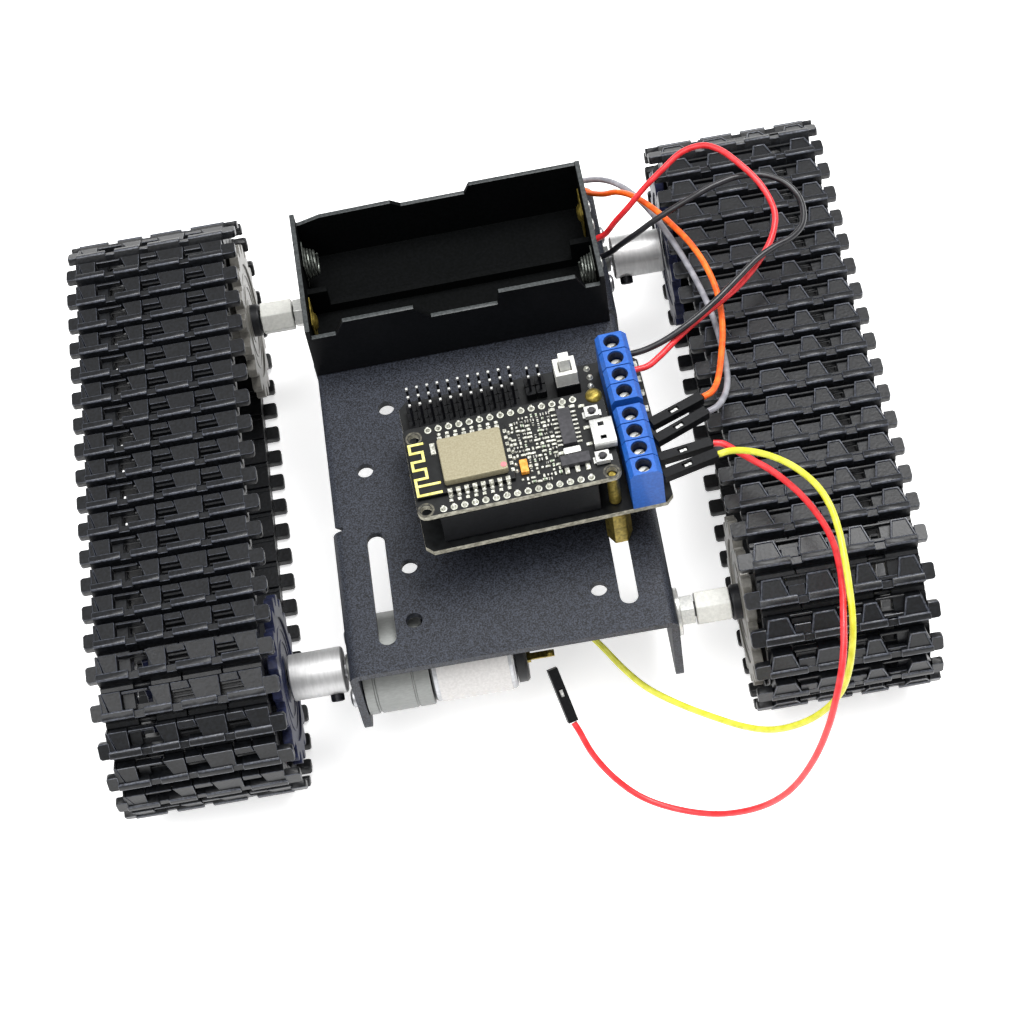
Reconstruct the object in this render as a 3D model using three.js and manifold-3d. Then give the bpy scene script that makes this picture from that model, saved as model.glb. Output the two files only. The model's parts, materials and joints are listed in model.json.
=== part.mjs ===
// Tracked two-motor robot chassis: bent deck plate, two diagonal gearmotors, two looped tracks,
// a two-cell battery holder, a stacked motor shield and controller board, and jumper wires.
// Millimetres, +Z up, +Y to the rear, +X to the right, origin on the ground midway between axles.

import * as THREE from 'three';
import { mergeVertices } from 'three/addons/utils/BufferGeometryUtils.js';
import Module from 'manifold-3d';

const wasm = await Module();
wasm.setup();

// ---- driving dimensions ----

const GAP = 0.3; // air kept between neighbouring pieces
const PITCH = 8.1; // track pin to track pin
const TEETH = 18; // teeth on every wheel, so links round a whole circle
const RUN_LINKS = 14; // links in each straight run
const RIB = 4.68; // tread rib above the pin line
const PIN_R = PITCH / (2 * Math.sin(Math.PI / TEETH)); // pins travel on this circle
const AXLE_Y = (RUN_LINKS * PITCH) / 2;
const AXLE_Z = PIN_R + RIB;
const TRACK = { inner: 59, outer: 98.7, tabInner: 55.8, tabOuter: 101, plate: 1.6 };
// a link's sections as [distance from its first pin, height above the pin line]
const LINK_TOP = [[0.7, 1.2], [2.2, 1.2], [2.5, 4.2], [5.3, RIB], [7.2, RIB], [7.6, 1.2]];
const LINK_UNDER = [[0.6, -TRACK.plate], [7.5, -TRACK.plate]];
const LINK_TAB = [[3, 2.2], [7, 2.2], [7, 4.4], [3, 4.1]];
const WHEEL = { tip: 21.1, root: 18.4, discA: [56.2, 58.6], discB: [86, 88.5], hub: 6 };
const DECK = { top: 44.2, thick: 2, halfMid: 38.6, half: 40, halfLength: 69.2, low: 15.7 };
const FLANGE = { front: [-69.2, -27], rear: [27, 69.2] };
const SLOT = { x: 29.5, y: [-61.8, -29.2], width: 4.4 };
const DECK_HOLES = [
  [-22.6, -56.2], [22.6, -56.2], [-22.1, -40.6], [-29.9, -10.1], [-22.6, 8], [22.6, 8],
];
const DECK_HOLE_R = 2.05;
const SHAFT_R = 2; // motor shafts and idler axles alike
const BORE_R = 2.3;
const GEARBOX = { r: 12.3, face: 37.7, back: 21.3, boss: 3.5, nose: 41.6, bore: 34 };
const CAN = { r: 12, front: 21, back: 0.6 };
const CAP = { r: 10.6, front: 0.3, back: -2.5, tabEnd: -9.3, tabOffset: 5.5 };
const COUPLING = { r: 5.8, in: 42.2, out: 55.9, screwAt: 45.2, screwR: 1.7, screwTop: 7.6, screwTurn: 2.16 };
const IDLER = {
  head: [34.9, 37.7], end: 96.5, tip: [90, 93.2], nut: [40.3, 44.9], sleeve: [45.3, 53.9], boss: 54.2,
};
const HOLDER = { x: -1, y: 42, length: 77, width: 39.4, turn: 1, wall: 1.3, floor: 1.4 };
const HOLDER_TOP = { end: 18.7, contact: 14.3, divider: 10.3, ridge: 4.5 };
// height of each long wall's top edge as [x, z], from the right end to the left
const WALL_TOP = {
  front: [[38.5, 15.3], [33.4, 15.3], [31.2, 19.9], [11.4, 19.9], [10.8, 15.3], [-6.4, 15.3],
    [-10.4, 19.9], [-28.6, 19.9], [-31, 15.3], [-38.5, 15.3]],
  rear: [[38.5, 18.4], [9, 18.4], [7.5, 15.4], [-9.4, 15.4], [-12, 17.2], [-31, 16.9],
    [-36.5, 15.3], [-38.5, 15.3]],
};
const HOLDER_Z = DECK.top + GAP;
const SPRING = { base: 4.4, tip: 3.2, length: 3.6, height: 9.9 };
const STACK = { x: -16.45, y: -45.7, turn: 2.72 }; // corner and turn of the two stacked boards
const SHIELD = { x: [-0.1, 60.4], y: [-1.8, 43.2], z: [57.4, 59], cut: 1.8 };
const BOARD = { x: [0, 49], y: [0, 26], z: [69.8, 71.4], corner: 2 };
const BOARD_HOLES = [[2.5, 22.9], [2.1, 1.9], [46.9, 24.3], [46.7, 1.7]];
const HEADER = { pitch: 2.54, pin: 0.64, count: 15, x: 6.2, yFront: 1.2, yRear: 24.4 };
const SERVO_PINS = { x: 3.07, y: 34.08, columns: 11, rows: 3, base: 61.8, top: 70 };
const TERMINAL = { x: 54.3, depth: 7.8, ways: 4, pitch: 5.08, z: [59.3, 73.2], entryZ: 66.5 };
const TERMINAL_START = { rear: 22.68, front: 0.46 };
const WIRE_R = 0.8;
const PLUG = { length: 14, width: 2.5 };
const BUTTON = { size: [3.4, 3], height: 1.5, capR: 0.8, wellR: 1.1, proud: 0.5 };
const BUTTONS = { reset: [45.4, 18.9], flash: [45.4, 5.5] };
const SWITCH = { x: 42, y: 37.4, size: 6, top: 68, plunger: 2.6, well: 3.2, proud: 3.9 };

const rad = THREE.MathUtils.degToRad;
const car = new THREE.Group();
const boards = new THREE.Group();
boards.position.set(STACK.x, STACK.y, 0);
boards.rotation.z = rad(STACK.turn);
const holder = new THREE.Group();
holder.position.set(HOLDER.x, HOLDER.y, HOLDER_Z);
holder.rotation.z = rad(HOLDER.turn);
car.add(boards, holder);

// ---- materials ----

const LOOKS = {
  powder_black: [0x3a3d47, 0.62, 0.1],
  track_rubber: [0x17171a, 0.7, 0],
  wheel_drive: [0x161a30, 0.35, 0],
  wheel_idler: [0x77756f, 0.5, 0.1],
  aluminium: [0xb9bbbd, 0.35, 0.9],
  steel: [0xa3a5a8, 0.35, 0.9],
  gearbox: [0x9a9c9d, 0.45, 0.8],
  label_white: [0xe4e2e0, 0.6, 0],
  black_plastic: [0x101114, 0.5, 0],
  brass: [0xb08d3c, 0.35, 0.9],
  board: [0x0c0d0e, 0.4, 0],
  can_metal: [0xbdb295, 0.35, 0.85],
  silver: [0xd4d5d2, 0.3, 0.9],
  terminal_blue: [0x2f7fe0, 0.4, 0],
  white_plastic: [0xd9d9d2, 0.5, 0],
  wire_red: [0xe83030, 0.45, 0],
  wire_orange: [0xf56a1e, 0.45, 0],
  wire_yellow: [0xf2f25a, 0.45, 0],
  wire_grey: [0x8f8f95, 0.45, 0],
  wire_black: [0x16161a, 0.45, 0],
};

function add(parent, name, geometry, look) {
  const [color, roughness, metalness] = LOOKS[look];
  const mesh = new THREE.Mesh(geometry, new THREE.MeshStandardMaterial({ color, roughness, metalness }));
  mesh.name = name;
  parent.add(mesh);
  return mesh;
}

// ---- shapes ----

function toSolid(geometry) {
  const bare = geometry.clone();
  bare.deleteAttribute('normal');
  bare.deleteAttribute('uv');
  const merged = mergeVertices(bare, 1e-5);
  const vertProperties = new Float32Array(merged.attributes.position.array);
  const triVerts = new Uint32Array(merged.index.array);
  return new wasm.Manifold(new wasm.Mesh({ numProp: 3, vertProperties, triVerts }));
}

function toGeometry(solid) {
  const mesh = solid.getMesh();
  const geometry = new THREE.BufferGeometry();
  geometry.setAttribute('position', new THREE.BufferAttribute(mesh.vertProperties, 3));
  geometry.setIndex(new THREE.BufferAttribute(mesh.triVerts, 1));
  return geometry;
}

function join(...geometries) {
  return toGeometry(geometries.map(toSolid).reduce((sum, next) => sum.add(next)));
}

function cut(body, ...tools) {
  return toGeometry(tools.map(toSolid).reduce((rest, tool) => rest.subtract(tool), toSolid(body)));
}

function common(body, other) {
  return toGeometry(toSolid(body).intersect(toSolid(other)));
}

function box([x0, x1], [y0, y1], [z0, z1]) {
  const geometry = new THREE.BoxGeometry(Math.abs(x1 - x0), y1 - y0, z1 - z0);
  return geometry.translate((x0 + x1) / 2, (y0 + y1) / 2, (z0 + z1) / 2);
}

function outline(points) {
  return new THREE.Shape(points.map(([u, v]) => new THREE.Vector2(u, v)));
}

function extruded(shape, depth, curveSegments = 8) {
  return new THREE.ExtrudeGeometry(shape, { depth, bevelEnabled: false, curveSegments });
}

// shape in X and Y, from z0 up to z1
function alongZ(shape, [z0, z1], curveSegments) {
  return extruded(shape, z1 - z0, curveSegments).translate(0, 0, z0);
}

// shape in Y and Z, between the two x values in either order
function alongX(shape, xs, curveSegments) {
  const [x0, x1] = [Math.min(...xs), Math.max(...xs)];
  const [u, v, w] = [new THREE.Vector3(0, 1, 0), new THREE.Vector3(0, 0, 1), new THREE.Vector3(1, 0, 0)];
  const turn = new THREE.Matrix4().makeBasis(u, v, w);
  return extruded(shape, x1 - x0, curveSegments).applyMatrix4(turn).translate(x0, 0, 0);
}

// shape in X and Z, from y0 to y1
function alongY(shape, [y0, y1], curveSegments) {
  return extruded(shape, y1 - y0, curveSegments).rotateX(Math.PI / 2).translate(0, y1, 0);
}

function roundedRect([x0, x1], [y0, y1], r) {
  const shape = new THREE.Shape();
  shape.moveTo(x0 + r, y0);
  shape.lineTo(x1 - r, y0);
  shape.absarc(x1 - r, y0 + r, r, -Math.PI / 2, 0, false);
  shape.lineTo(x1, y1 - r);
  shape.absarc(x1 - r, y1 - r, r, 0, Math.PI / 2, false);
  shape.lineTo(x0 + r, y1);
  shape.absarc(x0 + r, y1 - r, r, Math.PI / 2, Math.PI, false);
  shape.lineTo(x0, y0 + r);
  shape.absarc(x0 + r, y0 + r, r, Math.PI, 1.5 * Math.PI, false);
  return shape;
}

function polygon(radius, sides, start = 0) {
  const corner = (i) => start + (i / sides) * 2 * Math.PI;
  return outline(Array.from({ length: sides }, (_, i) => [
    radius * Math.cos(corner(i)), radius * Math.sin(corner(i)),
  ]));
}

function drillZ(x, y, r, zs, sides = 12) {
  return alongZ(polygon(r, sides), zs).translate(x, y, 0);
}

function drillX(y, z, r, xs, sides = 12) {
  return alongX(polygon(r, sides), xs).translate(0, y, z);
}

// closed profile of [radius, x] pairs, running from the axis outwards and back to the axis
function turned(profile, y, z, segments = 28) {
  const points = profile.map(([r, x]) => new THREE.Vector2(r, x));
  const rising = points[points.length - 1].y > points[0].y;
  const lathe = new THREE.LatheGeometry(rising ? points : points.reverse(), segments);
  return lathe.rotateZ(-Math.PI / 2).translate(0, y, z);
}

function hexAcross(flats) {
  return flats / Math.sqrt(3);
}

// ---- tracks ----

// start pin and heading of every link, clockwise seen from the left: over the top to the front first
function linkFrames() {
  const frames = [];
  const pin = new THREE.Vector2(AXLE_Y, AXLE_Z + PIN_R);
  let heading = Math.PI;
  const step = (2 * Math.PI) / TEETH;
  const place = (turn) => {
    heading += turn;
    const along = new THREE.Vector2(Math.cos(heading), Math.sin(heading));
    frames.push({ pin: pin.clone(), along, out: new THREE.Vector2(along.y, -along.x) });
    pin.addScaledVector(along, PITCH);
  };
  for (let half = 0; half < 2; half += 1) {
    for (let i = 0; i < RUN_LINKS; i += 1) place(i === 0 && half === 1 ? step / 2 : 0);
    for (let i = 0; i < TEETH / 2; i += 1) place(i === 0 ? step / 2 : step);
  }
  return frames;
}

function onLink(frame, [s, n]) {
  const point = frame.pin.clone().addScaledVector(frame.along, s).addScaledVector(frame.out, n);
  return [point.x, point.y];
}

function trackLoop(side) {
  const frames = linkFrames();
  const shape = outline(frames.flatMap((frame) => LINK_TOP.map((p) => onLink(frame, p))));
  const inside = outline(frames.flatMap((frame) => LINK_UNDER.map((p) => onLink(frame, p))));
  shape.holes.push(inside);
  const belt = alongX(shape, [side * TRACK.inner, side * TRACK.outer]);
  const tabs = frames.flatMap((frame) => {
    const bar = outline(LINK_TAB.map((p) => onLink(frame, p)));
    return [[TRACK.tabInner, TRACK.inner + 1], [TRACK.outer - 1, TRACK.tabOuter]].map(
      ([near, far]) => alongX(bar, [side * near, side * far]),
    );
  });
  return join(belt, ...tabs);
}

// ---- wheels ----

function toothedDisc(xs) {
  const step = (2 * Math.PI) / TEETH;
  const points = [];
  for (let i = 0; i < TEETH; i += 1) {
    const middle = i * step + step / 2;
    const corners = [[-0.36, WHEEL.root], [-0.2, WHEEL.tip], [0.2, WHEEL.tip], [0.36, WHEEL.root]];
    for (const [part, r] of corners) {
      points.push([r * Math.cos(middle + part * step), r * Math.sin(middle + part * step)]);
    }
  }
  return alongX(outline(points), xs);
}

function wheel(side, y, boss) {
  const discs = [WHEEL.discA, WHEEL.discB].map(([a, b]) => {
    return toothedDisc([side * a, side * b]).translate(0, y, AXLE_Z);
  });
  const hub = drillX(y, AXLE_Z, WHEEL.hub, [side * (WHEEL.discA[0] + 0.4), side * (WHEEL.discB[0] + 1)], 16);
  if (!boss) return join(...discs, hub);
  const collar = drillX(y, AXLE_Z, boss.r, [side * boss.in, side * (WHEEL.discA[0] + 1)], 16);
  const bore = drillX(y, AXLE_Z, BORE_R, [side * (boss.in - 1), side * (WHEEL.discB[1] + 1)]);
  return cut(join(...discs, hub, collar), bore);
}

// ---- chassis plate ----

function chassisPlate() {
  const under = DECK.top - DECK.thick;
  const ends = [-DECK.halfLength, DECK.halfLength];
  const middle = alongZ(roundedRect([-DECK.halfMid, DECK.halfMid], ends, 4), [under, DECK.top], 5);
  const bend = new THREE.Shape();
  bend.moveTo(DECK.half - 8, under);
  bend.lineTo(DECK.half - DECK.thick, under);
  bend.lineTo(DECK.half - DECK.thick, DECK.low);
  bend.lineTo(DECK.half, DECK.low);
  bend.lineTo(DECK.half, under);
  bend.absarc(DECK.half - DECK.thick, under, DECK.thick, 0, Math.PI / 2, false);
  bend.lineTo(DECK.half - 8, DECK.top);
  const flanges = [];
  for (const span of [FLANGE.front, FLANGE.rear]) {
    const right = alongY(bend, span, 4);
    const rounded = alongX(roundedRect(span, [DECK.low, DECK.top + 8], 5), [0, DECK.half + 5], 4);
    const tab = common(right, rounded);
    flanges.push(tab, tab.clone().rotateZ(Math.PI).translate(0, span[0] + span[1], 0));
  }
  const through = [under - 1, DECK.top + 1];
  const slots = [-1, 1].map((side) => {
    const xs = [side * SLOT.x - SLOT.width / 2, side * SLOT.x + SLOT.width / 2];
    return alongZ(roundedRect(xs, SLOT.y, SLOT.width / 2 - 0.01), through, 4);
  });
  const holes = DECK_HOLES.map(([x, y]) => drillZ(x, y, DECK_HOLE_R, through));
  const bosses = [-1, 1].map((side) => drillX(side * AXLE_Y, AXLE_Z, 4, [side * 36, side * 42], 16));
  const axles = [-1, 1].map((side) => drillX(-side * AXLE_Y, AXLE_Z, BORE_R, [side * 36, side * 42]));
  return cut(join(middle, ...flanges), ...slots, ...holes, ...bosses, ...axles);
}

// ---- drive train, laid out for side = -1 (front left) and side = 1 (rear right) ----

function gearbox(side) {
  const y = side * AXLE_Y;
  const body = turned([[0, side * GEARBOX.back], [GEARBOX.r, side * GEARBOX.back],
    [GEARBOX.r, side * GEARBOX.face], [GEARBOX.boss, side * GEARBOX.face],
    [GEARBOX.boss, side * GEARBOX.nose], [0, side * GEARBOX.nose]], y, AXLE_Z);
  return cut(body, drillX(y, AXLE_Z, BORE_R, [side * GEARBOX.bore, side * (GEARBOX.nose + 1)]));
}

function motorCan(side) {
  return drillX(side * AXLE_Y, AXLE_Z, CAN.r, [side * CAN.front, side * CAN.back], 28);
}

function motorCap(side) {
  const y = side * AXLE_Y;
  const cap = drillX(y, AXLE_Z, CAP.r, [side * CAP.front, side * CAP.back], 20);
  const tabs = [-1, 1].map((end) => {
    const at = y + end * CAP.tabOffset;
    const xs = [side * (CAP.back + 0.8), side * CAP.tabEnd];
    return box([Math.min(...xs), Math.max(...xs)], [at - 0.9, at + 0.9], [AXLE_Z - 0.3, AXLE_Z + 0.3]);
  });
  return join(cap, ...tabs);
}

function coupling(side) {
  const y = side * AXLE_Y;
  const body = drillX(y, AXLE_Z, COUPLING.r, [side * COUPLING.in, side * COUPLING.out], 24);
  const bore = drillX(y, AXLE_Z, BORE_R, [side * (COUPLING.in - 1), side * (COUPLING.out - 4)]);
  const screw = alongZ(polygon(COUPLING.screwR, 10), [3, COUPLING.screwTop]);
  screw.rotateX(COUPLING.screwTurn).translate(side * COUPLING.screwAt, y, AXLE_Z);
  return join(cut(body, bore), screw);
}

function motorShaft(side) {
  const xs = [side * (GEARBOX.bore + GAP), side * (COUPLING.out - 4 - GAP)];
  return drillX(side * AXLE_Y, AXLE_Z, SHAFT_R, xs);
}

// ---- idlers: rear left and front right ----

function idlerAxle(side) {
  const y = -side * AXLE_Y;
  const shank = drillX(y, AXLE_Z, SHAFT_R, [side * 36, side * IDLER.end]);
  const head = drillX(y, AXLE_Z, hexAcross(7), IDLER.head.map((x) => side * x), 6);
  const tip = drillX(y, AXLE_Z, hexAcross(7), IDLER.tip.map((x) => side * x), 6);
  return join(shank, head, tip);
}

function idlerNut(side) {
  const y = -side * AXLE_Y;
  const [start, end] = IDLER.nut;
  const washer = drillX(y, AXLE_Z, 6, [side * start, side * (start + 1.2)], 16);
  const nut = drillX(y, AXLE_Z, hexAcross(7), [side * (start + 1), side * end], 6);
  return cut(join(washer, nut), drillX(y, AXLE_Z, BORE_R, [side * (start - 1), side * (end + 1)]));
}

function idlerSleeve(side) {
  const y = -side * AXLE_Y;
  const hex = drillX(y, AXLE_Z, hexAcross(8), IDLER.sleeve.map((x) => side * x), 6);
  return cut(hex, drillX(y, AXLE_Z, BORE_R, [side * 44, side * 55]));
}

// ---- battery holder ----

function holderWall(top, span) {
  const half = HOLDER.length / 2;
  return alongY(outline([[-half, 0], [half, 0], ...top]), span);
}

function batteryHolder() {
  const halfL = HOLDER.length / 2;
  const halfW = HOLDER.width / 2;
  const { wall, floor } = HOLDER;
  const base = box([-halfL, halfL], [-halfW, halfW], [0, floor]);
  const front = holderWall(WALL_TOP.front, [-halfW, -halfW + wall]);
  const rear = holderWall(WALL_TOP.rear, [halfW - wall, halfW]);
  const ends = [-1, 1].map((side) => {
    const xs = [side * halfL, side * (halfL - wall)].sort((a, b) => a - b);
    return box(xs, [-halfW, halfW], [0, HOLDER_TOP.end]);
  });
  const ridge = box([-halfL + 1, halfL - 1], [-0.9, 0.9], [floor - 0.5, HOLDER_TOP.ridge]);
  const dividers = [-1, 1].map((side) => {
    const xs = [side * (halfL - 1), side * (halfL - 6.5)].sort((a, b) => a - b);
    return box(xs, [-0.9, 0.9], [1, HOLDER_TOP.divider]);
  });
  return join(base, front, rear, ...ends, ridge, ...dividers);
}

// springs and plates alternate, because the two cells lie head to tail
function cellSpring(end, cell) {
  const wallFace = end * (HOLDER.length / 2 - HOLDER.wall - GAP);
  const xs = [wallFace, wallFace - end * SPRING.length];
  return turned([[0, xs[0]], [SPRING.base, xs[0]], [SPRING.tip, xs[1]], [0, xs[1]]], cell, SPRING.height, 20);
}

function cellContact(end, cell) {
  const face = HOLDER.length / 2 - HOLDER.wall - GAP;
  const xs = [end * face, end * (face - 0.5)].sort((a, b) => a - b);
  return box(xs, [cell - 4.6, cell + 4.6], [HOLDER.floor + GAP, HOLDER_TOP.contact]);
}

// ---- boards ----

function chamferedRect([x0, x1], [y0, y1], c) {
  return outline([[x0 + c, y0], [x1 - c, y0], [x1, y0 + c], [x1, y1 - c], [x1 - c, y1], [x0 + c, y1],
    [x0, y1 - c], [x0, y0 + c]]);
}

function shieldBoard() {
  return alongZ(chamferedRect(SHIELD.x, SHIELD.y, SHIELD.cut), SHIELD.z);
}

function controllerBoard() {
  const plate = alongZ(roundedRect(BOARD.x, BOARD.y, BOARD.corner), BOARD.z, 4);
  const through = [BOARD.z[0] - 1, BOARD.z[1] + 1];
  return cut(plate, ...BOARD_HOLES.map(([x, y]) => drillZ(x, y, 1.3, through)));
}

function socketStrip(y) {
  const length = HEADER.count * HEADER.pitch;
  const start = HEADER.x - HEADER.pitch / 2;
  return box([start, start + length], [y - 1.25, y + 1.25], [SHIELD.z[1] + GAP, BOARD.z[0] - GAP]);
}

function pinHeader() {
  const { pitch, pin } = HEADER;
  const { x, y, columns, rows, base, top } = SERVO_PINS;
  const block = box([x - pitch / 2, x + (columns - 0.5) * pitch], [y - pitch / 2, y + (rows - 0.5) * pitch],
    [SHIELD.z[1] + GAP, base]);
  const pins = [];
  for (let i = 0; i < columns; i += 1) {
    for (let j = 0; j < rows; j += 1) {
      const [cx, cy] = [x + i * pitch, y + j * pitch];
      pins.push(box([cx - pin / 2, cx + pin / 2], [cy - pin / 2, cy + pin / 2], [base - 0.5, top]));
    }
  }
  return join(block, ...pins);
}

function terminalBlock(start) {
  const { x, depth, ways, pitch, z, entryZ } = TERMINAL;
  const ys = [start - pitch / 2, start + (ways - 0.5) * pitch];
  const right = x + depth / 2;
  const body = box([x - depth / 2, right], ys, z);
  const entries = Array.from({ length: ways }, (_, i) => {
    const y = start + i * pitch;
    return box([right - 5, right + 1], [y - 1.9, y + 1.9], [entryZ - 2.4, entryZ + 1.9]);
  });
  return cut(body, ...entries);
}

function radioModule() {
  const plate = box([0.5, 24.4], [4.9, 20.9], [BOARD.z[1] + GAP, 72.5]);
  return join(plate, box([7.7, 23.1], [6.7, 19.1], [72.3, 74.6]));
}

function usbSocket() {
  const [y0, y1] = [8, 15.7];
  const z0 = BOARD.z[1] + GAP;
  const shell = box([44.2, 49.6], [y0, y1], [z0, z0 + 2.7]);
  return cut(shell, box([45.2, 51], [y0 + 0.6, y1 - 0.6], [z0 + 0.5, z0 + 2.2]));
}

function standoff(spot, [z0, z1], radius, sides, stud) {
  const [x, y] = spot;
  const body = drillZ(x, y, radius, [z0, z1], sides);
  return stud ? join(body, drillZ(x, y, 1.2, stud, 10)) : body;
}

function buttonBody([x, y]) {
  const [w, d] = BUTTON.size;
  const z0 = BOARD.z[1] + GAP;
  const body = box([x - w / 2, x + w / 2], [y - d / 2, y + d / 2], [z0, z0 + BUTTON.height]);
  return cut(body, drillZ(x, y, BUTTON.wellR, [z0 + 0.5, z0 + BUTTON.height + 1]));
}

function buttonCap([x, y]) {
  const z0 = BOARD.z[1] + GAP;
  return drillZ(x, y, BUTTON.capR, [z0 + 0.9, z0 + BUTTON.height + BUTTON.proud]);
}

function square(x, y, size, zs) {
  return box([x - size / 2, x + size / 2], [y - size / 2, y + size / 2], zs);
}

function switchBody() {
  const { x, y, size, top, well } = SWITCH;
  const body = square(x, y, size, [SHIELD.z[1] + GAP, top]);
  return cut(body, square(x, y, well, [top - 4.6, top + 1]));
}

function switchPlunger() {
  const { x, y, top, plunger, proud } = SWITCH;
  return square(x, y, plunger, [top - 2.8, top + proud]);
}

// ---- wires and plugs ----

const ROUTES = {
  battery_red: [[37.9, 44.4, 52], [40.5, 44.4, 53.4], [43.5, 44.6, 57.4], [47.4, 44.9, 62], [52, 46.3, 66.6],
    [57.1, 48, 70.3], [62.8, 50, 73.5], [68.2, 49.4, 75.3], [71.9, 46.9, 75.6], [76.1, 41.5, 75.1],
    [80, 35.5, 73.6], [82, 30, 71.8], [82.2, 26.2, 70.6], [80.2, 21, 69], [76, 15.8, 67.4],
    [69.9, 10.2, 66.3], [64.1, 6.2, 65.9], [58, 2.2, 65.8], [52.4, -2.3, 66], [47.2, -7, 66.2],
    [43.6, -9.6, 66.4], [40.4, -10.1, 66.5], [37.6, -10.3, 66.5]],
  battery_black: [[37.9, 38.1, 52], [40.4, 37.6, 53.6], [43.4, 36.7, 57.2], [47.9, 35.5, 62.2],
    [53, 35.4, 66.4], [58.4, 36, 69.2], [63.6, 37.2, 70.8], [68.7, 38.9, 71.5], [75.6, 40.3, 71.7],
    [81.9, 39.5, 71.5],
    [86.4, 36.4, 71.2], [89, 32.6, 70.2], [89.6, 28, 69.6], [88.4, 23.4, 69.2], [85.2, 20, 69.4],
    [80.4, 17.6, 69.9], [75.3, 14.4, 70.2], [69.6, 9.6, 70], [62.4, 3.8, 69.4], [55.4, -0.6, 68.5],
    [48.8, -3.6, 67.5], [43.6, -4.9, 66.8], [40.2, -5.1, 66.5], [37.4, -5.25, 66.5]],
  motor_orange: [[-9.2, 63.6, 27.6], [-9.4, 66, 26.9], [-7.8, 69.8, 26.8], [-4, 73, 27.8], [1.6, 75, 29.6],
    [9, 76, 32.2], [17, 75.6, 35.6], [24.6, 73.6, 39.6], [30.6, 71.9, 44], [35.2, 68, 47.2],
    [38.9, 62.2, 49.8], [42.2, 58.2, 53], [45.4, 55.4, 56.2], [49.2, 50.4, 59.4], [53.4, 43.2, 61.8],
    [57.4, 35.4, 63], [60.8, 28, 63.5], [63.2, 20.6, 63.3], [64.5, 13, 62.9], [64.5, 6, 62.6],
    [63.6, -1, 62.6], [62.1, -7.6, 63.1], [60.7, -12.9, 63.7], [59.2, -17.2, 64.6], [57.6, -19.8, 65.4],
    [55.2, -21.25, 66]],
  motor_grey: [[-9.9, 51.2, 27.6], [-12.5, 51.3, 26.4], [-15.6, 53.2, 24.4], [-16.6, 57.2, 22.4],
    [-14.8, 62, 21], [-10, 67, 21.4], [-3, 71.2, 23.2], [6, 74.2, 26.2], [15, 76, 29.8], [23.6, 76.6, 34.2],
    [31, 75, 39.2], [36, 72, 43.4], [39.6, 69, 47], [43, 65.4, 50.2], [46.4, 60.6, 53], [49.9, 53.3, 56],
    [53.6, 43.6, 58.2], [57, 33, 59.1], [59.9, 22, 59.4], [61.9, 11.8, 59.5], [62.8, 4, 59.6],
    [63, -3.6, 60.2], [62.8, -10.4, 61.4], [62, -16.4, 63], [60.4, -21.2, 64.6], [58.2, -24.4, 65.6],
    [55.7, -25.75, 66]],
  motor_red: [[55.3, -35.1, 66], [57.6, -35.6, 65.8], [60, -38, 65.9], [63.4, -41.6, 66], [67.4, -45.8, 66.1],
    [72.4, -53.2, 66.2], [75.6, -60.6, 66.3], [77.3, -67.4, 66.3], [77.6, -74, 66.3], [76.9, -81.6, 66.5],
    [75.5, -89.3, 66.5], [74.3, -95.4, 64.8], [72.9, -99.6, 61.6], [71.1, -103, 56.8], [68.4, -106.1, 48],
    [64.2, -108.2, 36.6], [58.4, -108.5, 24.6], [51.2, -106.4, 14.6], [42, -103, 8], [32.6, -98.6, 5.4],
    [24.6, -94.2, 6.2], [18.8, -89.6, 9.6], [14.4, -84.6, 14.6], [11.9, -79.6, 19.2], [11.1, -78.05, 20.15]],
  motor_yellow: [[55.9, -39.4, 67.35], [58.6, -39.6, 68.2], [62.1, -41.3, 69.7], [66.4, -44.4, 71.2],
    [70.2, -47.8, 72], [73.5, -51.6, 72.2], [76.4, -56.6, 72.3], [78.1, -62.4, 72.1], [78.7, -68.9, 71.6],
    [78.6, -75.6, 70.5], [78.3, -82.4, 68.3], [77.8, -88.4, 65], [76.9, -92.6, 60.9], [75.4, -96.2, 56],
    [73.4, -98, 50], [70.2, -98.6, 44.4], [66, -98.3, 39.2], [61, -97, 34.6], [56.4, -94.8, 30.9],
    [51, -90.9, 27.4], [44.2, -85.1, 24.3], [36.8, -78.8, 22.2], [30, -72.4, 21.4], [25.2, -66, 21.6],
    [21.2, -60, 23], [17, -55.2, 25.4], [13.4, -52.2, 27.4], [9.9, -51.2, 28]],
};
const WIRE_LOOKS = {
  battery_red: 'wire_red', battery_black: 'wire_black', motor_orange: 'wire_orange',
  motor_grey: 'wire_grey', motor_red: 'wire_red', motor_yellow: 'wire_yellow',
};
// rear end (towards the wire) and front end (towards the pin) of each plug
const PLUGS = {
  plug_orange: [[54.9, -21.38, 66], [41.6, -27.0, 66.4]],
  plug_grey: [[55.4, -25.88, 66], [41.9, -32.05, 66.4]],
  plug_red: [[55, -35.15, 66], [41.8, -37.35, 66.4]],
  plug_yellow: [[55.6, -39.45, 67.3], [42.1, -42.4, 66.5]],
  plug_motor: [[10.95, -77.8, 20.4], [8.05, -67.4, 29.3]],
};

function tube(points) {
  const curve = new THREE.CatmullRomCurve3(points.map((p) => new THREE.Vector3(...p)), false, 'centripetal');
  const steps = Math.min(80, Math.ceil(curve.getLength() / (6 * WIRE_R)));
  const shape = polygon(WIRE_R, 8);
  return new THREE.ExtrudeGeometry(shape, { steps, extrudePath: curve, bevelEnabled: false });
}

function plug(mesh, [rear, front]) {
  const from = new THREE.Vector3(...rear);
  const to = new THREE.Vector3(...front);
  mesh.position.copy(from.clone().add(to).multiplyScalar(0.5));
  mesh.up.set(0, 0, 1);
  mesh.lookAt(to);
}

// ---- assembly ----

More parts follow.
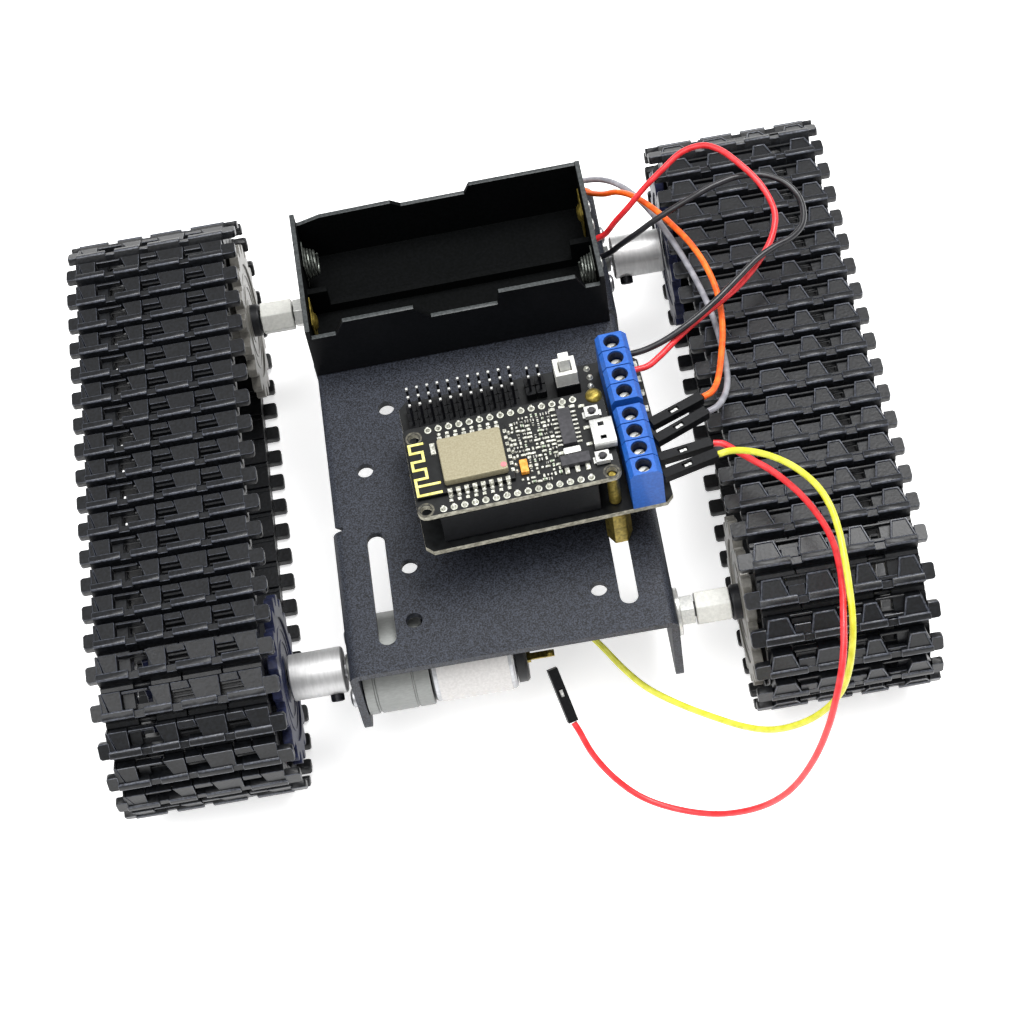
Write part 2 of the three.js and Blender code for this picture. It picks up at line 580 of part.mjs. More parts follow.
add(car, 'chassis_plate', chassisPlate(), 'powder_black');
for (const [name, side] of [['left', -1], ['right', 1]]) {
  add(car, `track_${name}`, trackLoop(side), 'track_rubber');
  add(car, `drive_wheel_${name}`, wheel(side, side * AXLE_Y), 'wheel_drive');
  add(car, `idler_wheel_${name}`, wheel(side, -side * AXLE_Y, { r: 4.4, in: IDLER.boss }), 'wheel_idler');
  add(car, `gearbox_${name}`, gearbox(side), 'gearbox');
  add(car, `motor_can_${name}`, motorCan(side), 'label_white');
  add(car, `motor_cap_${name}`, motorCap(side), 'black_plastic');
  add(car, `motor_shaft_${name}`, motorShaft(side), 'steel');
  add(car, `coupling_${name}`, coupling(side), 'aluminium');
  add(car, `idler_axle_${name}`, idlerAxle(side), 'steel');
  add(car, `idler_nut_${name}`, idlerNut(side), 'steel');
  add(car, `idler_sleeve_${name}`, idlerSleeve(side), 'white_plastic');
}

add(holder, 'battery_holder', batteryHolder(), 'black_plastic');
add(holder, 'cell_spring_rear', cellSpring(-1, 9.6), 'steel');
add(holder, 'cell_contact_rear', cellContact(1, 9.6), 'brass');
add(holder, 'cell_spring_front', cellSpring(1, -9.6), 'steel');
add(holder, 'cell_contact_front', cellContact(-1, -9.6), 'brass');

add(boards, 'motor_shield_board', shieldBoard(), 'board');
add(boards, 'controller_board', controllerBoard(), 'board');
add(boards, 'socket_strip_front', socketStrip(HEADER.yFront), 'black_plastic');
add(boards, 'socket_strip_rear', socketStrip(HEADER.yRear), 'black_plastic');
add(boards, 'pin_header_block', pinHeader(), 'black_plastic');
add(boards, 'terminal_block_rear', terminalBlock(TERMINAL_START.rear), 'terminal_blue');
add(boards, 'terminal_block_front', terminalBlock(TERMINAL_START.front), 'terminal_blue');
add(boards, 'radio_module', radioModule(), 'can_metal');
add(boards, 'usb_socket', usbSocket(), 'silver');
const lower = [DECK.top + GAP, SHIELD.z[0] - GAP];
const upper = [SHIELD.z[1] + GAP, BOARD.z[0] - GAP];
const [frontRight, rearRight, rearLeft] = [[46.7, 1.7], [46.9, 24.3], [2.5, 22.9]];
add(boards, 'standoff_lower_front', standoff(frontRight, lower, hexAcross(5.5), 6, [41.8, 46]), 'brass');
add(boards, 'standoff_lower_right', standoff(rearRight, lower, hexAcross(5.5), 6), 'brass');
add(boards, 'standoff_lower_left', standoff(rearLeft, lower, hexAcross(5.5), 6), 'brass');
add(boards, 'standoff_upper_front', standoff(frontRight, upper, 1.5, 16, [69, 72]), 'brass');
add(boards, 'standoff_upper_rear', standoff(rearRight, upper, 2.2, 16, [69, 72.6]), 'brass');
add(boards, 'power_switch_body', switchBody(), 'white_plastic');
add(boards, 'power_switch_plunger', switchPlunger(), 'white_plastic');
for (const [name, spot] of Object.entries(BUTTONS)) {
  add(boards, `${name}_button_body`, buttonBody(spot), 'silver');
  add(boards, `${name}_button_cap`, buttonCap(spot), 'black_plastic');
}

for (const [name, points] of Object.entries(ROUTES)) {
  add(car, `wire_${name}`, tube(points), WIRE_LOOKS[name]);
}
for (const [name, ends] of Object.entries(PLUGS)) {
  const reach = new THREE.Vector3(...ends[0]).distanceTo(new THREE.Vector3(...ends[1]));
  plug(add(car, name, new THREE.BoxGeometry(PLUG.width, PLUG.width, reach), 'black_plastic'), ends);
}

export default car;
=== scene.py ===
import json
import math
import random

import bmesh
import bpy
from mathutils import Matrix, Vector
from mathutils.geometry import delaunay_2d_cdt

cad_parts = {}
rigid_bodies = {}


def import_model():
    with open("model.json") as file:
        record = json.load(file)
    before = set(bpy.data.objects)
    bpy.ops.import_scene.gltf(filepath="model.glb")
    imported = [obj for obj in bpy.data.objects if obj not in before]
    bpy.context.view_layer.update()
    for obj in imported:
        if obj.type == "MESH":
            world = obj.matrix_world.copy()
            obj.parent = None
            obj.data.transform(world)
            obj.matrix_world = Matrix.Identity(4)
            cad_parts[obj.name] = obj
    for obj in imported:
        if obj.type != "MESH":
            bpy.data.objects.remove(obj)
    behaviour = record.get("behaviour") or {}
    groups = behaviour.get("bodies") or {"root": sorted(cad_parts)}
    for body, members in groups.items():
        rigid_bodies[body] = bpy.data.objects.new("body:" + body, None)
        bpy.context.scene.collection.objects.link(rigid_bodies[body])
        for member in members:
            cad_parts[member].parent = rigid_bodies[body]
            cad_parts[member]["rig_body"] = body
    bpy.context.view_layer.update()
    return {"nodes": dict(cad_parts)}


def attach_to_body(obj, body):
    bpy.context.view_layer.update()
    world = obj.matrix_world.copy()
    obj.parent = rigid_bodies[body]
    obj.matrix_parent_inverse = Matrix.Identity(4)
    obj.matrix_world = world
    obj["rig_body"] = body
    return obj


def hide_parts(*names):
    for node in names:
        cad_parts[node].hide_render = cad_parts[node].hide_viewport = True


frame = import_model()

# A tracked two-motor robot chassis, dressed over its CAD frame. Shapes are drawn in millimetres
# and turned into metres as each piece is finished. +Z is up, -Y is the front, +X is the right.

MM = 0.001
NODES = frame["nodes"]

# ---- driving dimensions ----

AXLE_Y = 56.7
AXLE_Z = 28.003
TEETH = 18
PITCH = 8.1
RUN_LINKS = 14
PIN_R = PITCH / (2 * math.sin(math.pi / TEETH))
TRACK_INNER = 59
WIRE_R = 0.8
DECK_TOP = 44.2
DECK_THICK = 2
# placings of the circuit boards and of the battery holder
STACK = Matrix.Translation((-16.45, -45.7, 0)) @ Matrix.Rotation(math.radians(2.72), 4, "Z")
HOLDER = Matrix.Translation((-1, 42, 44.5)) @ Matrix.Rotation(math.radians(1), 4, "Z")
WORLD = Matrix.Identity(4)
SHIELD_TOP = 59
SHIELD_FOOT = 59.3
BOARD_TOP = 71.4
MODULE_TOP = 72.5
CAN_TOP = 74.6
HEADER_PITCH = 2.54
TERMINAL_PITCH = 5.08
SIDES = (("left", -1), ("right", 1))
TRIANGLES_INSIDE = 1


def up(u, v, w):
    return (u, v, w)


def across(u, v, w):
    return (w, u, v)


def rearward(u, v, w):
    return (u, w, v)


def add_object(name, data):
    piece = bpy.data.objects.new(name, data)
    bpy.context.scene.collection.objects.link(piece)
    return piece


# ---- camera ----

def add_camera():
    data = bpy.data.cameras.new("camera")
    data.lens = 90.12
    data.sensor_width = 36
    camera = add_object("camera", data)
    right = Vector((0.9852, -0.13309, -0.10802))
    top = Vector((0.17067, 0.8203, 0.54588))
    turn = Matrix((right, top, right.cross(top))).transposed().to_4x4()
    camera.matrix_world = Matrix.Translation((0.0150, -0.3821, 0.5700)) @ turn
    bpy.context.scene.camera = camera


add_camera()

# ---- materials ----

def tint(code):
    """(r, g, b, 1) in linear light from a six-figure colour"""
    parts = [((code >> shift) & 255) / 255 for shift in (16, 8, 0)]
    return (*(p / 12.92 if p <= 0.04045 else ((p + 0.055) / 1.055) ** 2.4 for p in parts), 1)


GLOSS_SPREAD = 0.06
LOOKS = {}


def surface(name, dark, light, rough, grain=900, bump=0.15, depth=0.05, metallic=0.0, coat=0.0,
            sheen=0.5, stretch=None):
    """two shades mixed by a fine grain, with the grain in the gloss and the relief too"""
    material = bpy.data.materials.new(name)
    material.use_nodes = True
    tree = material.node_tree
    shader = tree.nodes["Principled BSDF"]
    LOOKS[name] = material

    def preset(node, **values):
        for key, value in values.items():
            node.inputs[key.replace("_", " ")].default_value = value
        return node

    def joined(kind, source, socket, **values):
        """new node with one input fed by an output"""
        node = preset(tree.nodes.new(f"ShaderNode{kind}"), **values)
        tree.links.new(source, node.inputs[socket])
        return node

    preset(shader, Metallic=metallic, Coat_Weight=coat, Specular_IOR_Level=sheen)
    place = tree.nodes.new("ShaderNodeTexCoord").outputs["Object"]
    if stretch:
        place = joined("Mapping", place, "Vector", Scale=stretch).outputs["Vector"]
    fine = joined("TexNoise", place, "Vector", Scale=grain, Detail=3).outputs["Fac"]
    broad = joined("TexNoise", place, "Vector", Scale=grain / 14, Detail=2).outputs["Fac"]
    ramp = joined("ValToRGB", fine, "Fac")
    for stop, position, shade in zip(ramp.color_ramp.elements, (0.38, 0.64), (dark, light)):
        stop.position = position
        stop.color = tint(shade)
    gloss = joined("MapRange", broad, "Value", To_Min=max(0.03, rough - GLOSS_SPREAD),
                   To_Max=min(1.0, rough + GLOSS_SPREAD))
    relief = joined("Bump", fine, "Height", Strength=bump, Distance=depth * MM)
    tree.links.new(ramp.outputs["Color"], shader.inputs["Base Color"])
    tree.links.new(gloss.outputs["Result"], shader.inputs["Roughness"])
    tree.links.new(relief.outputs["Normal"], shader.inputs["Normal"])
    return material


surface("powder_black", 0x0b0c10, 0x363a44, 0.5, 3000, 0.5, depth=0.1, sheen=0.28)
surface("track_rubber", 0x07080a, 0x131519, 0.38, 1300, 0.5, depth=0.1, sheen=0.36)
# lighter rubber for the tread's raised edges: partly wear, partly a painted highlight
surface("tread_wear_and_highlight", 0x26282f, 0x464a54, 0.36, 1500, 0.3, sheen=0.55)
surface("wheel_drive", 0x15182c, 0x20253f, 0.4, 900, 0.08, sheen=0.14)
surface("wheel_idler", 0x5f5d58, 0x6a6862, 0.4, 1500, 0.08, metallic=0.1)
surface("idler_boss", 0x101114, 0x1a1b1f, 0.45, 1200, sheen=0.3)
surface("aluminium", 0xb4b4b4, 0xc0c0c0, 0.42, 1500, 0.06, metallic=0.7, stretch=(1, 0.2, 0.2))
surface("steel", 0x9c9da0, 0xb0b1b3, 0.34, 1200, 0.06, metallic=0.85)
surface("spring_steel", 0x4c504c, 0x7c807a, 0.35, 1200, metallic=0.8)
surface("dark_steel", 0x15161a, 0x24252b, 0.35, 1200, metallic=0.5)
surface("gearbox", 0x757775, 0x7d7f7d, 0.42, 2400, 0.05, metallic=0.7, stretch=(0.3, 1, 1))
surface("label_white", 0xbebcba, 0xc9c7c5, 0.55, 1600, 0.05, sheen=0.25)
surface("black_plastic", 0x07080a, 0x0e0f12, 0.42, 1400, 0.2, sheen=0.18)
# near-black for the holder's inside: painted shade in the cell bays
surface("holder_well_shade", 0x020303, 0x060708, 0.7, 1400, 0.2, sheen=0.06)
# lighter black plastic for the holder's wall tops: a painted highlight
surface("rim_highlight_plastic", 0x1f2324, 0x393d3e, 0.42, 1400, 0.2)
# dark blue for the walls of the terminal screw holes: painted shade
surface("well_blue", 0x06122c, 0x0b1c40, 0.5, 1400, 0.1, sheen=0.2)
surface("brass", 0x6e6128, 0xa39046, 0.34, 900, 0.08, metallic=0.8)
surface("gold_trace", 0xcfc468, 0xe6e08e, 0.4, metallic=0.2)
surface("board", 0x08090a, 0x121415, 0.36, 700, 0.2, sheen=0.3)
surface("board_edge", 0x7a776a, 0xb2af9f, 0.6)
surface("hole_ring", 0x2f2e29, 0x5f5c50, 0.5, 1200, metallic=0.4)
surface("can_metal", 0x8a8269, 0x969078, 0.42, 2200, 0.06, metallic=0.35)
surface("silver", 0xc9cac7, 0xdcdcd8, 0.3, 1600, 0.05, metallic=0.6)
surface("solder", 0x8d8d82, 0xe4e4da, 0.32, 1500, metallic=0.5)
surface("ceramic", 0x9c9e90, 0xe2e3d8, 0.5, 1700)
surface("chip", 0x2b2b2e, 0x3a393d, 0.5, sheen=0.3)
surface("orange_part", 0xd08420, 0xeca84a, 0.4)
surface("green_part", 0x3f5240, 0x98a98c, 0.5, 1600)
surface("pink_dot", 0xb8646a, 0xcd8286, 0.5)
surface("terminal_blue", 0x1a51a2, 0x205db2, 0.4, 1500, 0.06, coat=0.1, sheen=0.35)
surface("white_plastic", 0xd6d6d0, 0xe2e2dc, 0.45, 1200, 0.06)
surface("wire_black", 0x0c0c10, 0x1a1a20, 0.38, 400, 0.1, coat=0.1)
for wire, *shades in (("red", 0xcc1a20, 0xe63238), ("orange", 0xe2520f, 0xf8741f),
                      ("yellow", 0xc3c32a, 0xdcdb4e), ("grey", 0x77777e, 0x939399)):
    surface(f"wire_{wire}", *shades, 0.4, 400, 0.1, coat=0.1)

# ---- shapes ----

def rect(us, vs):
    return [(us[0], vs[0]), (us[1], vs[0]), (us[1], vs[1]), (us[0], vs[1])]


def about(centre, reach):
    return (centre - reach, centre + reach)


def sided(side, near, far):
    """span across between two distances from the middle, to one side of it"""
    return sorted((side * near, side * far))


def ring(radius, sides, centre=(0, 0)):
    angles = [2 * math.pi * i / sides for i in range(sides)]
    return [(centre[0] + radius * math.cos(a), centre[1] + radius * math.sin(a)) for a in angles]


def rounded(us, vs, radius, steps=6):
    """rectangle with round corners, anticlockwise from the lower right"""
    points = []
    corners = ((us[1], vs[0], -1, 1), (us[1], vs[1], -1, -1), (us[0], vs[1], 1, -1), (us[0], vs[0], 1, 1))
    for turn, (u, v, du, dv) in enumerate(corners):
        for i in range(steps + 1):
            angle = math.pi / 2 * (turn - 1 + i / steps)
            points.append((u + du * radius + radius * math.cos(angle),
                           v + dv * radius + radius * math.sin(angle)))
    return points


def capsule(us, vs, steps=16):
    """slot with half-round ends, as wide as us and as long as vs"""
    radius = (us[1] - us[0]) / 2
    centre = (us[0] + us[1]) / 2
    angles = [math.pi * i / steps for i in range(steps + 1)]
    half = [(radius * math.cos(a), radius * math.sin(a)) for a in angles]
    rear = [(centre + u, vs[1] - radius + v) for u, v in half]
    return rear + [(centre - u, vs[0] + radius - v) for u, v in half]


def hexagon(flats, centre=(0, 0)):
    return ring(flats / math.sqrt(3), 6, centre)


class Shape:
    """a mesh drawn in millimetres within one placing; look numbers the material of the next faces"""

    def __init__(self, place=WORLD):
        self.bm = bmesh.new()
        self.place = place
        self.look = 0

    def face(self, corners):
        self.bm.faces.new(corners).material_index = self.look

    def skin(self, lower, upper):
        """side faces between two rings, of which one can be a single point"""
        count = max(len(lower), len(upper))
        for i in range(count):
            j = (i + 1) % count
            corners = (lower[i % len(lower)], lower[j % len(lower)],
                       upper[j % len(upper)], upper[i % len(upper)])
            self.face(list(dict.fromkeys(corners)))

    def prism(self, outline, span, lift=up):
        low, high = ([self.bm.verts.new(lift(u, v, w)) for u, v in outline] for w in span)
        self.face(low)
        self.face(high)
        self.skin(low, high)

    def box(self, xs, ys, zs):
        self.prism(rect(xs, ys), zs)

    def plate(self, outlines, span, lift=up, edge=0, bends=()):
        """flat sheet within the first outline, with the others as convex holes, cut along bends"""
        points, edges, rims = [], [], []
        for number, outline in enumerate(outlines):
            first = len(points)
            points += [Vector(point) for point in outline]
            edges += [(first + i, first + (i + 1) % len(outline)) for i in range(len(outline))]
            rims += [number] * len(outline)
        spots, _, faces, origins = delaunay_2d_cdt(points, edges, [], TRIANGLES_INSIDE, 1e-6)[:4]
        flat = bmesh.new()
        corners = [flat.verts.new((*spot, 0)) for spot in spots]
        for face in faces:
            touched = {rims[origins[i][0]] for i in face}
            if 0 in touched or len(touched) > 1:
                flat.faces.new([corners[i] for i in face])
        for u in bends:
            everything = flat.verts[:] + flat.edges[:] + flat.faces[:]
            bmesh.ops.bisect_plane(flat, geom=everything, plane_co=(u, 0, 0), plane_no=(1, 0, 0))
        levels = [{v: self.bm.verts.new(lift(v.co.x, v.co.y, w)) for v in flat.verts} for w in span]
        for level in levels:
            for face in flat.faces:
                self.face([level[v] for v in face.verts])
        self.look, kept = edge, self.look
        for a, b in (e.verts for e in flat.edges if e.is_boundary):
            self.face((levels[0][a], levels[0][b], levels[1][b], levels[1][a]))
        self.look = kept
        flat.free()

    def turned(self, profile, centre=(0, 0), lift=up, sides=48, closed=False):
        """(radius, height) pairs turned about the lifted axis through centre"""
        rings = []
        for radius, w in profile:
            points = ring(radius, sides, centre) if radius else [centre]
            rings.append([self.bm.verts.new(lift(u, v, w)) for u, v in points])
        following = rings[1:] + rings[:1] if closed else rings[1:]
        for lower, upper in zip(rings, following):
            self.skin(lower, upper)

    def tube(self, path, radius, sides=10):
        """round bar along a path of points, capped at both ends"""
        points = [Vector(p) for p in path]
        above = Vector((0.31, 0.17, 0.93))
        rings = []
        for i, point in enumerate(points):
            ahead = (points[min(i + 1, len(points) - 1)] - points[max(i - 1, 0)]).normalized()
            beside = ahead.cross(above).normalized()
            above = beside.cross(ahead)
            rings.append([self.bm.verts.new(point + beside * u + above * v) for u, v in ring(radius, sides)])
        self.face(rings[0])
        self.face(rings[-1])
        for lower, upper in zip(rings, rings[1:]):
            self.skin(lower, upper)

    def dome(self, x, y, z, radius, height, sides=14):
        """solder bead or rivet head standing on z"""
        steps = [(radius * math.cos(a), z + height * math.sin(a)) for a in (0, 0.5, 1.0)]
        self.turned([(0, z - 0.05), (radius, z - 0.05), *steps, (0, z + height)], (x, y), sides=sides)

    def carve(self, tool):
        """takes the tool shape's volume away"""
        solids = []
        for shape in (self, tool):
            bmesh.ops.recalc_face_normals(shape.bm, faces=shape.bm.faces)
            mesh = bpy.data.meshes.new("solid")
            shape.bm.to_mesh(mesh)
            solids.append(add_object("solid", mesh))
        cut = solids[0].modifiers.new("cut", "BOOLEAN")
        cut.operation = "DIFFERENCE"
        cut.solver = "EXACT"
        cut.use_self = True
        cut.object = solids[1]
        seen = solids[0].evaluated_get(bpy.context.evaluated_depsgraph_get())
        self.bm.clear()
        self.bm.from_mesh(bpy.data.meshes.new_from_object(seen))
        tool.bm.free()
        for solid in solids:
            bpy.data.objects.remove(solid)

    def finish(self, name, node, *looks, stands=True, bevel=0.15, smooth=35):
        """the shape as a bevelled piece that rides with a CAD node and can stand for it"""
        bmesh.ops.recalc_face_normals(self.bm, faces=self.bm.faces)
        self.bm.transform(Matrix.Scale(MM, 4) @ self.place)
        mesh = bpy.data.meshes.new(name)
        self.bm.to_mesh(mesh)
        self.bm.free()
        for look in looks:
            mesh.materials.append(LOOKS[look])
        mesh.polygons.foreach_set("use_smooth", [True] * len(mesh.polygons))
        mesh.set_sharp_from_angle(angle=math.radians(smooth))
        piece = add_object(name, mesh)
        if bevel:
            soften_edges(piece, bevel)
        return attach(piece, looks[0], node, stands)

    def detail(self, name, node, *looks, bevel=0):
        """a piece that rides with a CAD node without standing for it"""
        return self.finish(name, node, *looks, stands=False, bevel=bevel)


def soften_edges(piece, width):
    bevel = piece.modifiers.new("bevel", "BEVEL")
    bevel.width = width * MM
    bevel.segments = 2
    bevel.limit_method = "ANGLE"
    bevel.angle_limit = math.radians(35)
    bevel.harden_normals = True


def attach(piece, look, node, stands):
    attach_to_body(piece, NODES[node]["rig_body"])
    if stands:
        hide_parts(node)
    return piece


def softened(node, look, bevel):
    """the CAD node's own form with merged flats and softened edges"""
    shape = Shape()
    shape.bm.from_mesh(NODES[node].data)
    shape.bm.transform(Matrix.Scale(1 / MM, 4))
    bmesh.ops.remove_doubles(shape.bm, verts=shape.bm.verts, dist=0.002)
    flat = math.radians(1.5)
    bmesh.ops.dissolve_limit(shape.bm, angle_limit=flat, verts=shape.bm.verts, edges=shape.bm.edges)
    return shape.finish(f"{node}_form", node, look, bevel=bevel)


# ---- plugs and cords ----

# rear end, towards the wire, and front end, towards the pin
PLUGS = {
    "plug_orange": ((54.9, -21.38, 66), (41.6, -27.0, 66.4)),
    "plug_grey": ((55.4, -25.88, 66), (41.9, -32.05, 66.4)),
    "plug_red": ((55, -35.15, 66), (41.8, -37.35, 66.4)),
    "plug_yellow": ((55.6, -39.45, 67.3), (42.1, -42.4, 66.5)),
    "plug_motor": ((10.95, -77.8, 20.4), (8.05, -67.4, 29.3)),
}
ROUTES = {
    "wire_battery_red": ((37.9, 44.4, 52), (40.5, 44.4, 53.4), (43.5, 44.6, 57.4), (47.4, 44.9, 62),
        (52, 46.3, 66.6), (57.1, 48, 70.3), (62.8, 50, 73.5), (68.2, 49.4, 75.3), (71.9, 46.9, 75.6),
        (76.1, 41.5, 75.1), (80, 35.5, 73.6), (82, 30, 71.8), (82.2, 26.2, 70.6), (80.2, 21, 69),
        (76, 15.8, 67.4), (69.9, 10.2, 66.3), (64.1, 6.2, 65.9), (58, 2.2, 65.8), (52.4, -2.3, 66),
        (47.2, -7, 66.2), (43.6, -9.6, 66.4), (40.4, -10.1, 66.5), (37.6, -10.3, 66.5)),
    "wire_battery_black": ((37.9, 38.1, 52), (40.4, 37.6, 53.6), (43.4, 36.7, 57.2), (47.9, 35.5, 62.2),
        (53, 35.4, 66.4), (58.4, 36, 69.2), (63.6, 37.2, 70.8), (68.7, 38.9, 71.5), (75.6, 40.3, 71.7),
        (81.9, 39.5, 71.5), (86.4, 36.4, 71.2), (89, 32.6, 70.2), (89.6, 28, 69.6), (88.4, 23.4, 69.2),
        (85.2, 20, 69.4), (80.4, 17.6, 69.9), (75.3, 14.4, 70.2), (69.6, 9.6, 70), (62.4, 3.8, 69.4),
        (55.4, -0.6, 68.5), (48.8, -3.6, 67.5), (43.6, -4.9, 66.8), (40.2, -5.1, 66.5),
        (37.4, -5.25, 66.5)),
    "wire_motor_orange": ((-9.2, 63.6, 27.6), (-9.4, 66, 26.9), (-7.8, 69.8, 26.8), (-4, 73, 27.8),
        (1.6, 75, 29.6), (9, 76, 32.2), (17, 75.6, 35.6), (24.6, 73.6, 39.6), (30.6, 71.9, 44),
        (35.2, 68, 47.2), (38.9, 62.2, 49.8), (42.2, 58.2, 53), (45.4, 55.4, 56.2), (49.2, 50.4, 59.4),
        (53.4, 43.2, 61.8), (57.4, 35.4, 63), (60.8, 28, 63.5), (63.2, 20.6, 63.3), (64.5, 13, 62.9),
        (64.5, 6, 62.6), (63.6, -1, 62.6), (62.1, -7.6, 63.1), (60.7, -12.9, 63.7), (59.2, -17.2, 64.6),
        (57.6, -19.8, 65.4), (55.2, -21.25, 66)),
    "wire_motor_grey": ((-9.9, 51.2, 27.6), (-12.5, 51.3, 26.4), (-15.6, 53.2, 24.4),
        (-16.6, 57.2, 22.4), (-14.8, 62, 21), (-10, 67, 21.4), (-3, 71.2, 23.2), (6, 74.2, 26.2),
        (15, 76, 29.8), (23.6, 76.6, 34.2), (31, 75, 39.2), (36, 72, 43.4), (39.6, 69, 47),
        (43, 65.4, 50.2), (46.4, 60.6, 53), (49.9, 53.3, 56), (53.6, 43.6, 58.2), (57, 33, 59.1),
        (59.9, 22, 59.4), (61.9, 11.8, 59.5), (62.8, 4, 59.6), (63, -3.6, 60.2), (62.8, -10.4, 61.4),
        (62, -16.4, 63), (60.4, -21.2, 64.6), (58.2, -24.4, 65.6), (55.7, -25.75, 66)),
    "wire_motor_red": ((55.3, -35.1, 66), (57.6, -35.6, 65.8), (60, -38, 65.9), (63.4, -41.6, 66),
        (67.4, -45.8, 66.1), (72.4, -53.2, 66.2), (75.6, -60.6, 66.3), (77.3, -67.4, 66.3),
        (77.6, -74, 66.3), (76.9, -81.6, 66.5), (75.5, -89.3, 66.5), (74.3, -95.4, 64.8),
        (72.9, -99.6, 61.6), (71.1, -103, 56.8), (68.4, -106.1, 48), (64.2, -108.2, 36.6),
        (58.4, -108.5, 24.6), (51.2, -106.4, 14.6), (42, -103, 8), (32.6, -98.6, 5.4),
        (24.6, -94.2, 6.2), (18.8, -89.6, 9.6), (14.4, -84.6, 14.6), (11.9, -79.6, 19.2),
        (11.1, -78.05, 20.15)),
    "wire_motor_yellow": ((55.9, -39.4, 67.35), (58.6, -39.6, 68.2), (62.1, -41.3, 69.7),
        (66.4, -44.4, 71.2), (70.2, -47.8, 72), (73.5, -51.6, 72.2), (76.4, -56.6, 72.3),
        (78.1, -62.4, 72.1), (78.7, -68.9, 71.6), (78.6, -75.6, 70.5), (78.3, -82.4, 68.3),
        (77.8, -88.4, 65), (76.9, -92.6, 60.9), (75.4, -96.2, 56), (73.4, -98, 50), (70.2, -98.6, 44.4),
        (66, -98.3, 39.2), (61, -97, 34.6), (56.4, -94.8, 30.9), (51, -90.9, 27.4), (44.2, -85.1, 24.3),
        (36.8, -78.8, 22.2), (30, -72.4, 21.4), (25.2, -66, 21.6), (21.2, -60, 23), (17, -55.2, 25.4),
        (13.4, -52.2, 27.4), (9.9, -51.2, 28)),
}


def plug(node, rear, front):
    """square crimp housing with its latch window over the bright terminal"""
    start, end = Vector(rear), Vector(front)
    along = (end - start).normalized()
    beside = Vector((0, 0, 1)).cross(along).normalized()
    turn = Matrix((along, beside, along.cross(beside))).transposed().to_4x4()
    reach = (end - start).length
    body = Shape(Matrix.Translation(start) @ turn)
    body.box((0, reach), (-1.25, 1.25), (-1.25, 1.25))
    tool = Shape()
    tool.box((0.46 * reach, 0.64 * reach), (-0.6, 0.6), (0.4, 2))
    tool.box((0.08 * reach, 0.2 * reach), (-2, -1.05), (-0.6, 0.6))
    body.carve(tool)
    latch = Shape(body.place)
    latch.box((0.47 * reach, 0.6 * reach), (-0.45, 0.45), (0.2, 0.7))
    latch.box((0.49 * reach, 0.53 * reach), (-0.35, 0.35), (0.65, 0.95))
    latch.detail(f"{node}_latch", node, "silver", bevel=0.08)
    return body.finish(f"{node}_housing", node, "black_plastic", bevel=0.18)


def spline_point(p0, p1, p2, p3, t):
    """centripetal Catmull-Rom point between p1 and p2"""
    d0, d1, d2 = ((b - a).length ** 0.5 for a, b in ((p0, p1), (p1, p2), (p2, p3)))
    leave = ((p1 - p0) / d0 - (p2 - p0) / (d0 + d1) + (p2 - p1) / d1) * d1
    arrive = ((p2 - p1) / d1 - (p3 - p1) / (d1 + d2) + (p3 - p2) / d2) * d1
    bend = 2 * p1 - 2 * p2 + leave + arrive
    return p1 + leave * t + (3 * p2 - 3 * p1 - 2 * leave - arrive) * t ** 2 + bend * t ** 3


def smooth_route(route, steps=7):
    points = [Vector(p) for p in route]
    points = [2 * points[0] - points[1], *points, 2 * points[-1] - points[-2]]
    line = [spline_point(*points[i:i + 4], step / steps)
            for i in range(len(points) - 3) for step in range(steps)]
    return line + [points[-2]]


def cord(node, look):
    line = [p * MM for p in smooth_route(ROUTES[node])]
    curve = bpy.data.curves.new(f"{node}_cord", "CURVE")
    curve.dimensions = "3D"
    curve.bevel_depth = WIRE_R * MM
    curve.bevel_resolution = 3
    curve.use_fill_caps = True
    spline = curve.splines.new("POLY")
    spline.points.add(len(line) - 1)
    for point, place in zip(spline.points, line):
        point.co = (*place, 1)
    spline.use_smooth = True
    curve.materials.append(LOOKS[look])
    piece = add_object(f"{node}_cord", curve)
    attach(piece, look, node, True)
    length = sum((b - a).length for a, b in zip(line, line[1:]))
    tuple(line[0])


def cords():
    plugs = {node: plug(node, *ends) for node, ends in PLUGS.items()}
    for node in ROUTES:
        cord(node, f"wire_{node.split('_')[-1]}")


cords()

# ---- tracks ----

# spans across one link, from its inner edge
PADS = ((0.4, 7.6), (11.2, 18.9), (23.2, 28.8), (33.2, 39.5))
RIBS = ((0.2, 9.3), (11.8, 20.3), (22.6, 29.3), (31.8, 39.6))
NOTCHES = ((9.3, 11.8), (20.3, 22.6), (29.3, 31.8))
GAPS = ((7.4, 11.4), (18.7, 23.4))
TABS = ((-3.2, 0.6), (39.2, 42.0))
WINDOW = ((27.4, 31.2), (1.3, 4.3))
# the flush plates of the left track: (inner, outer at the rear, outer at the front)
FLUSH_PADS = ((0.4, 6.0, 4.9), (10.8, 17.9, 16.8), (22.6, 27.5, 25.9), (34.4, 38.9, 37.5))
FLUSH_FINGERS = ((6.35, 5.25, 10.45), (18.25, 17.15, 22.25))
FLUSH_REAR = 0.7
WORN_AND_LIT_TREAD = 1


def tread_pad(link, inner, outer):
    """plate that narrows away from the rib, with a thin raised rim"""
    rim = [(inner, 5.6), (outer, 5.6), (outer - 1.5, 0.7), (inner + 1.0, 0.7)]
    floor = [(inner + 0.35, 5.6), (outer - 0.4, 5.6), (outer - 1.8, 1.1), (inner + 1.3, 1.1)]
    link.plate([rim, floor], (0.8, 4.3))
    link.prism(floor, (0.8, 4.05))


def gap_steps(link, inner, outer):
    """between two pads: a plate behind the rib, then a step and a bar"""
    link.box((inner, outer), (3.0, 5.6), (0.8, 3.9))
    link.box((inner - 0.5, outer + 0.5), (1.7, 3.1), (0.8, 2.9))
    link.box((inner - 0.8, outer + 0.8), (0.6, 1.2), (1.8, 3.4))


